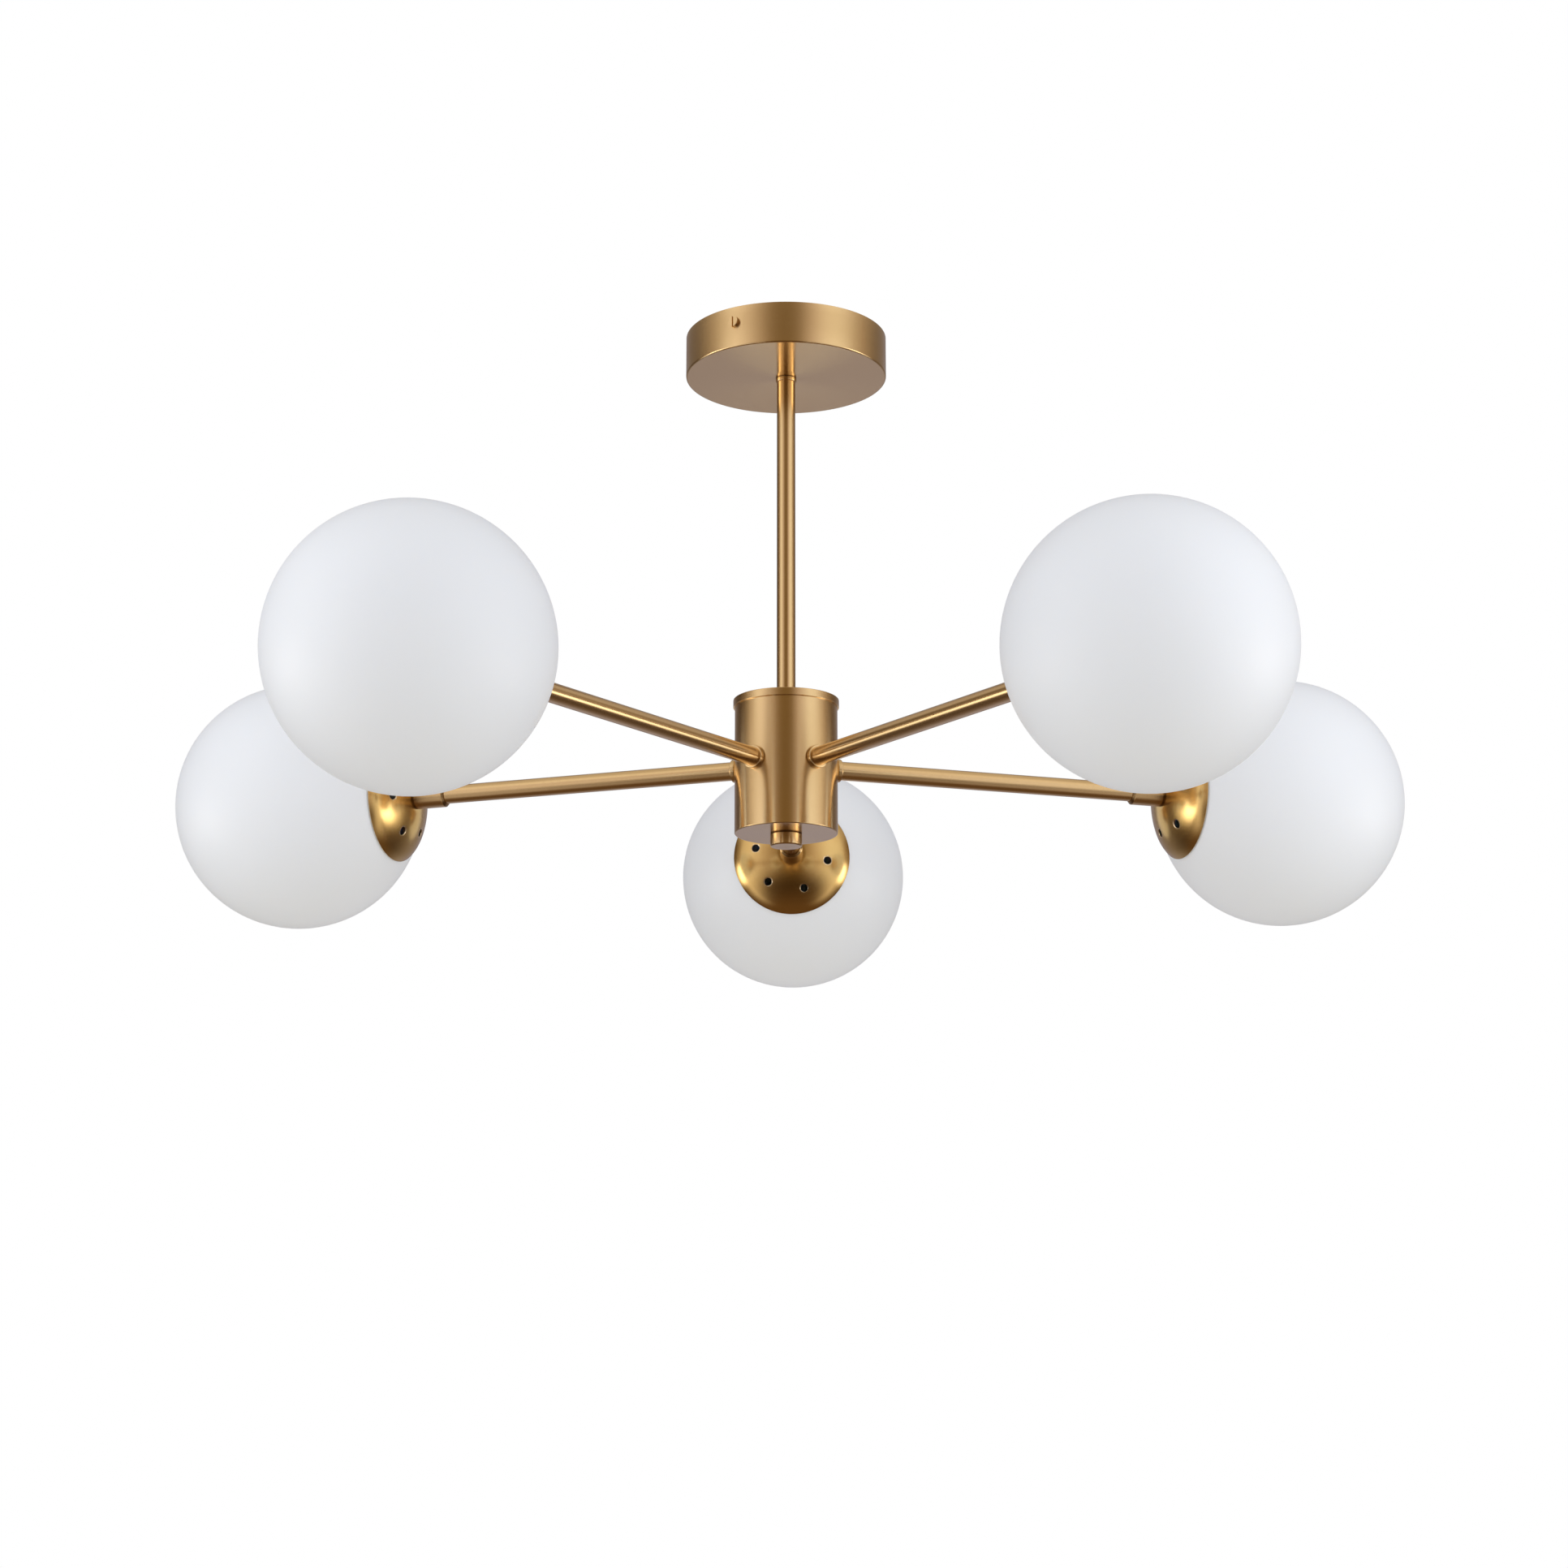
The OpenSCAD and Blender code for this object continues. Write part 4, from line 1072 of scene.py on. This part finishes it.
STRIP_SHARES = mirrored([
    (0, 0.0), (60, 0.0), (68, 0.05), (75, 0.5), (81, 1.0), (91, 1.0), (96, 0.62), (101, 0.22), (108, 0.12),
    (116, 0.0), (180, 0.0),
])
STRIP_RISE, STRIP_FALL = (-24, -12), (6, -5)
STRIP_COLOUR = (1.0, 0.97, 0.92)
STRIP_STRENGTH = 4.2
TENT_CENTRE = -0.25
CAMERA_TURN = math.radians(-90)


def glow(name, find_tone):
    """A material that glows on its front only, so a card never hides the light from what is behind it."""
    material = bpy.data.materials.new(name)
    material.use_nodes = True
    tree = material.node_tree
    tree.nodes.clear()
    lit = add(tree, "Emission", {"Color": find_tone(tree), "Strength": 1.0}).outputs[0]
    back = add(tree, "NewGeometry").outputs["Backfacing"]
    clear = add(tree, "BsdfTransparent").outputs[0]
    shown = add(tree, "MixShader", {0: back, 1: lit, 2: clear}).outputs[0]
    add(tree, "OutputMaterial", {"Surface": shown})
    return material


def tone_ramp(tree, share, tones):
    ramp = add(tree, "ValToRGB", {0: share})
    ramp.color_ramp.interpolation = "B_SPLINE"
    stops = ramp.color_ramp.elements
    while len(stops) < len(tones):
        stops.new(0.5)
    for stop, (angle, colour) in zip(stops, tones):
        stop.position = 0.5 + angle / 360
        stop.color = (*colour, 1.0)
    return ramp.outputs[0]


def tent_tone(tree):
    """The colour that the tent has in each direction from its centre."""
    place = add(tree, "TexCoord").outputs["Object"]
    away = vector_node(tree, "SUBTRACT", place, (0, 0, TENT_CENTRE))[0]
    reach = vector_node(tree, "LENGTH", away)["Value"]
    split = add(tree, "SeparateXYZ", {0: away}).outputs
    turn = math_node(tree, "ARCTAN2", split[1], split[0])
    share = math_node(tree, "ADD", math_node(tree, "DIVIDE", turn, 2 * math.pi), 0.5)
    rise = math_node(tree, "ARCSINE", math_node(tree, "DIVIDE", split[2], reach))

    def fade(start, end):
        """0 at the first elevation and 1 at the second, in degrees."""
        return add(tree, "MapRange", {
            "Value": rise, "From Min": math.radians(start), "From Max": math.radians(end)},
            interpolation_type="SMOOTHSTEP").outputs[0]

    low, high = tone_ramp(tree, share, LOW_TONES), tone_ramp(tree, share, HIGH_TONES)
    tone = tone_ramp(tree, share, LEVEL_TONES)
    for ends, second in ((LOW_FADE, low), (BASE_FADE, BASE_TONE), (HIGH_FADE, high), (TOP_FADE, TOP_TONE)):
        tone = mix_colours(tree, fade(*ends), tone, second)
    strip = math_node(tree, "MULTIPLY", fade(*STRIP_RISE), fade(*STRIP_FALL))
    greys = [(angle, (value, value, value)) for angle, value in STRIP_SHARES]
    strip = math_node(tree, "MULTIPLY", strip, tone_ramp(tree, share, greys))
    return mix_colours(tree, strip, tone, tuple(v * STRIP_STRENGTH for v in STRIP_COLOUR))


print(len(LEVEL_TONES), "level tones and", len(LOW_TONES), "low tones")

# %% Pitch the tent
TENT_RADIUS = 2.2
TENT_LOW, TENT_HIGH = -1.9, 2.3
TENT_SIDES = 64
BOUNCE_TONE = (0.74, 0.71, 0.64, 1.0)


def sheet(name, points, faces, material):
    data = bpy.data.meshes.new(name)
    data.from_pydata(points, [], faces)
    data.materials.append(material)
    return put(name, data)


def card(name, points, faces, material, glossy, diffuse):
    """A sheet that only reflections or only diffuse light can see."""
    made = sheet(name, points, faces, material)
    made.visible_camera = made.visible_shadow = made.visible_transmission = False
    made.visible_glossy = glossy
    made.visible_diffuse = diffuse
    made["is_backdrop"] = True
    return made


def tent_ring(radius, z):
    return [point for point, _ in ring_row(radius, z, 0.0, TENT_SIDES)]


base = tuple(range(TENT_SIDES))
lid = tuple(reversed(range(TENT_SIDES, 2 * TENT_SIDES)))
tent_faces = [(k, j, j + TENT_SIDES, k + TENT_SIDES) for j, k in zip(base, base[1:] + (0,))]
tent = card("tent", tent_ring(TENT_RADIUS, TENT_LOW) + tent_ring(TENT_RADIUS, TENT_HIGH),
            tent_faces + [base, lid], glow("tent glow", tent_tone), glossy=True, diffuse=False)
tent.rotation_euler.z = CAMERA_TURN
card("low_bounce", tent_ring(TENT_RADIUS + 1, TENT_LOW), [base],
     glow("low bounce glow", lambda tree: BOUNCE_TONE), glossy=False, diffuse=True)
print("the tent stands", TENT_RADIUS, "m round the light")

# %% [markdown]
# ## Floor, side lamps and world
#
# The floor is a plain pale sheet far below the light, and the world is an even white. Two large soft lamps
# give the opal globes their brighter outer sides. The metal doesn't see them: it reflects the tent.

# %% Lay the floor and light the studio
FLOOR_Z = -2.6
FLOOR_REACH = 40
floor_corners = [(x * FLOOR_REACH, y * FLOOR_REACH, FLOOR_Z) for x, y in ((-1, -1), (1, -1), (1, 1), (-1, 1))]
floor_paint = new_material("floor paint", Roughness=0.9, Base_Color=(0.9, 0.9, 0.9, 1),
                           Emission_Color=(1, 1, 1, 1), Emission_Strength=0.2)[0]
floor = sheet("floor", floor_corners, [(0, 1, 2, 3)], floor_paint)
floor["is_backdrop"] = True

LAMP_POWER = {"right": 2.15, "left": 1.75}
LAMP_COLOUR = (0.94, 0.97, 1.0)
LAMP_TURN = 59
LAMP_RADIUS, LAMP_HEIGHT = 1.05, -0.12
LAMP_WIDTH, LAMP_LENGTH = 0.5, 0.9
LAMP_DIP = 0.2
for side, label in ((1, "right"), (-1, "left")):
    lamp_data = bpy.data.lights.new("side_lamp_" + label, "AREA")
    lamp_data.color = LAMP_COLOUR
    lamp_data.shape = "RECTANGLE"
    lamp_data.size, lamp_data.size_y = LAMP_WIDTH, LAMP_LENGTH
    lamp_data.energy = LAMP_POWER[label]
    lamp = put("side_lamp_" + label, lamp_data)
    a = CAMERA_TURN + math.radians(side * LAMP_TURN)
    lamp.location = (LAMP_RADIUS * math.cos(a), LAMP_RADIUS * math.sin(a), LAMP_HEIGHT)
    lamp.rotation_euler = Vector((-math.cos(a), -math.sin(a), -LAMP_DIP)).to_track_quat("-Z", "Y").to_euler()
    lamp.visible_glossy = lamp.visible_camera = False
    lamp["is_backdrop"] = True

DIFFUSE_WORLD = 0.80
world = bpy.data.worlds.new("even white")
scene.world = world
world.use_nodes = True
tree = world.node_tree
path = add(tree, "LightPath").outputs
seen = math_node(tree, "ADD", path["Is Camera Ray"], path["Is Glossy Ray"])
seen = math_node(tree, "ADD", seen, path["Is Transmission Ray"], clamp=True)
background = tree.nodes["Background"]
background.inputs["Color"].default_value = (1, 1, 1, 1)
tree.links.new(remap(tree, seen, DIFFUSE_WORLD, 1.0), background.inputs["Strength"])
print("floor at", FLOOR_Z, "m, lamps at", LAMP_TURN, "degrees from the camera")

# %% [markdown]
# ## Camera
#
# The camera looks up at the light from below its hub, with a lens of about 71 mm at 1.9 metres. The view
# transform stays at its plain setting, so the colours are what the materials say.

# %% Set up the camera
SENSOR = 36
FOCAL_PIXELS, PICTURE_PIXELS = 3794, 1932
TILT, PAN = 13.47, 0.89
camera_data = bpy.data.cameras.new("camera")
camera_data.sensor_width = SENSOR
camera_data.lens = SENSOR * FOCAL_PIXELS / PICTURE_PIXELS
camera = put("camera", camera_data)
camera.location = Vector((25.8, -1741.5, -692.3)) * mm
camera.rotation_euler = (math.radians(90 + TILT), 0, math.radians(PAN))
scene.camera = camera
scene.view_settings.view_transform = "Standard"
print("camera at", [round(v, 3) for v in camera.location])

# %% Measure the finished model and finish
low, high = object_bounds()
past = list(cad_low - low) + list(high - cad_high)
print("looks exceed the frame by mm:", [round(v / mm, 2) for v in past])
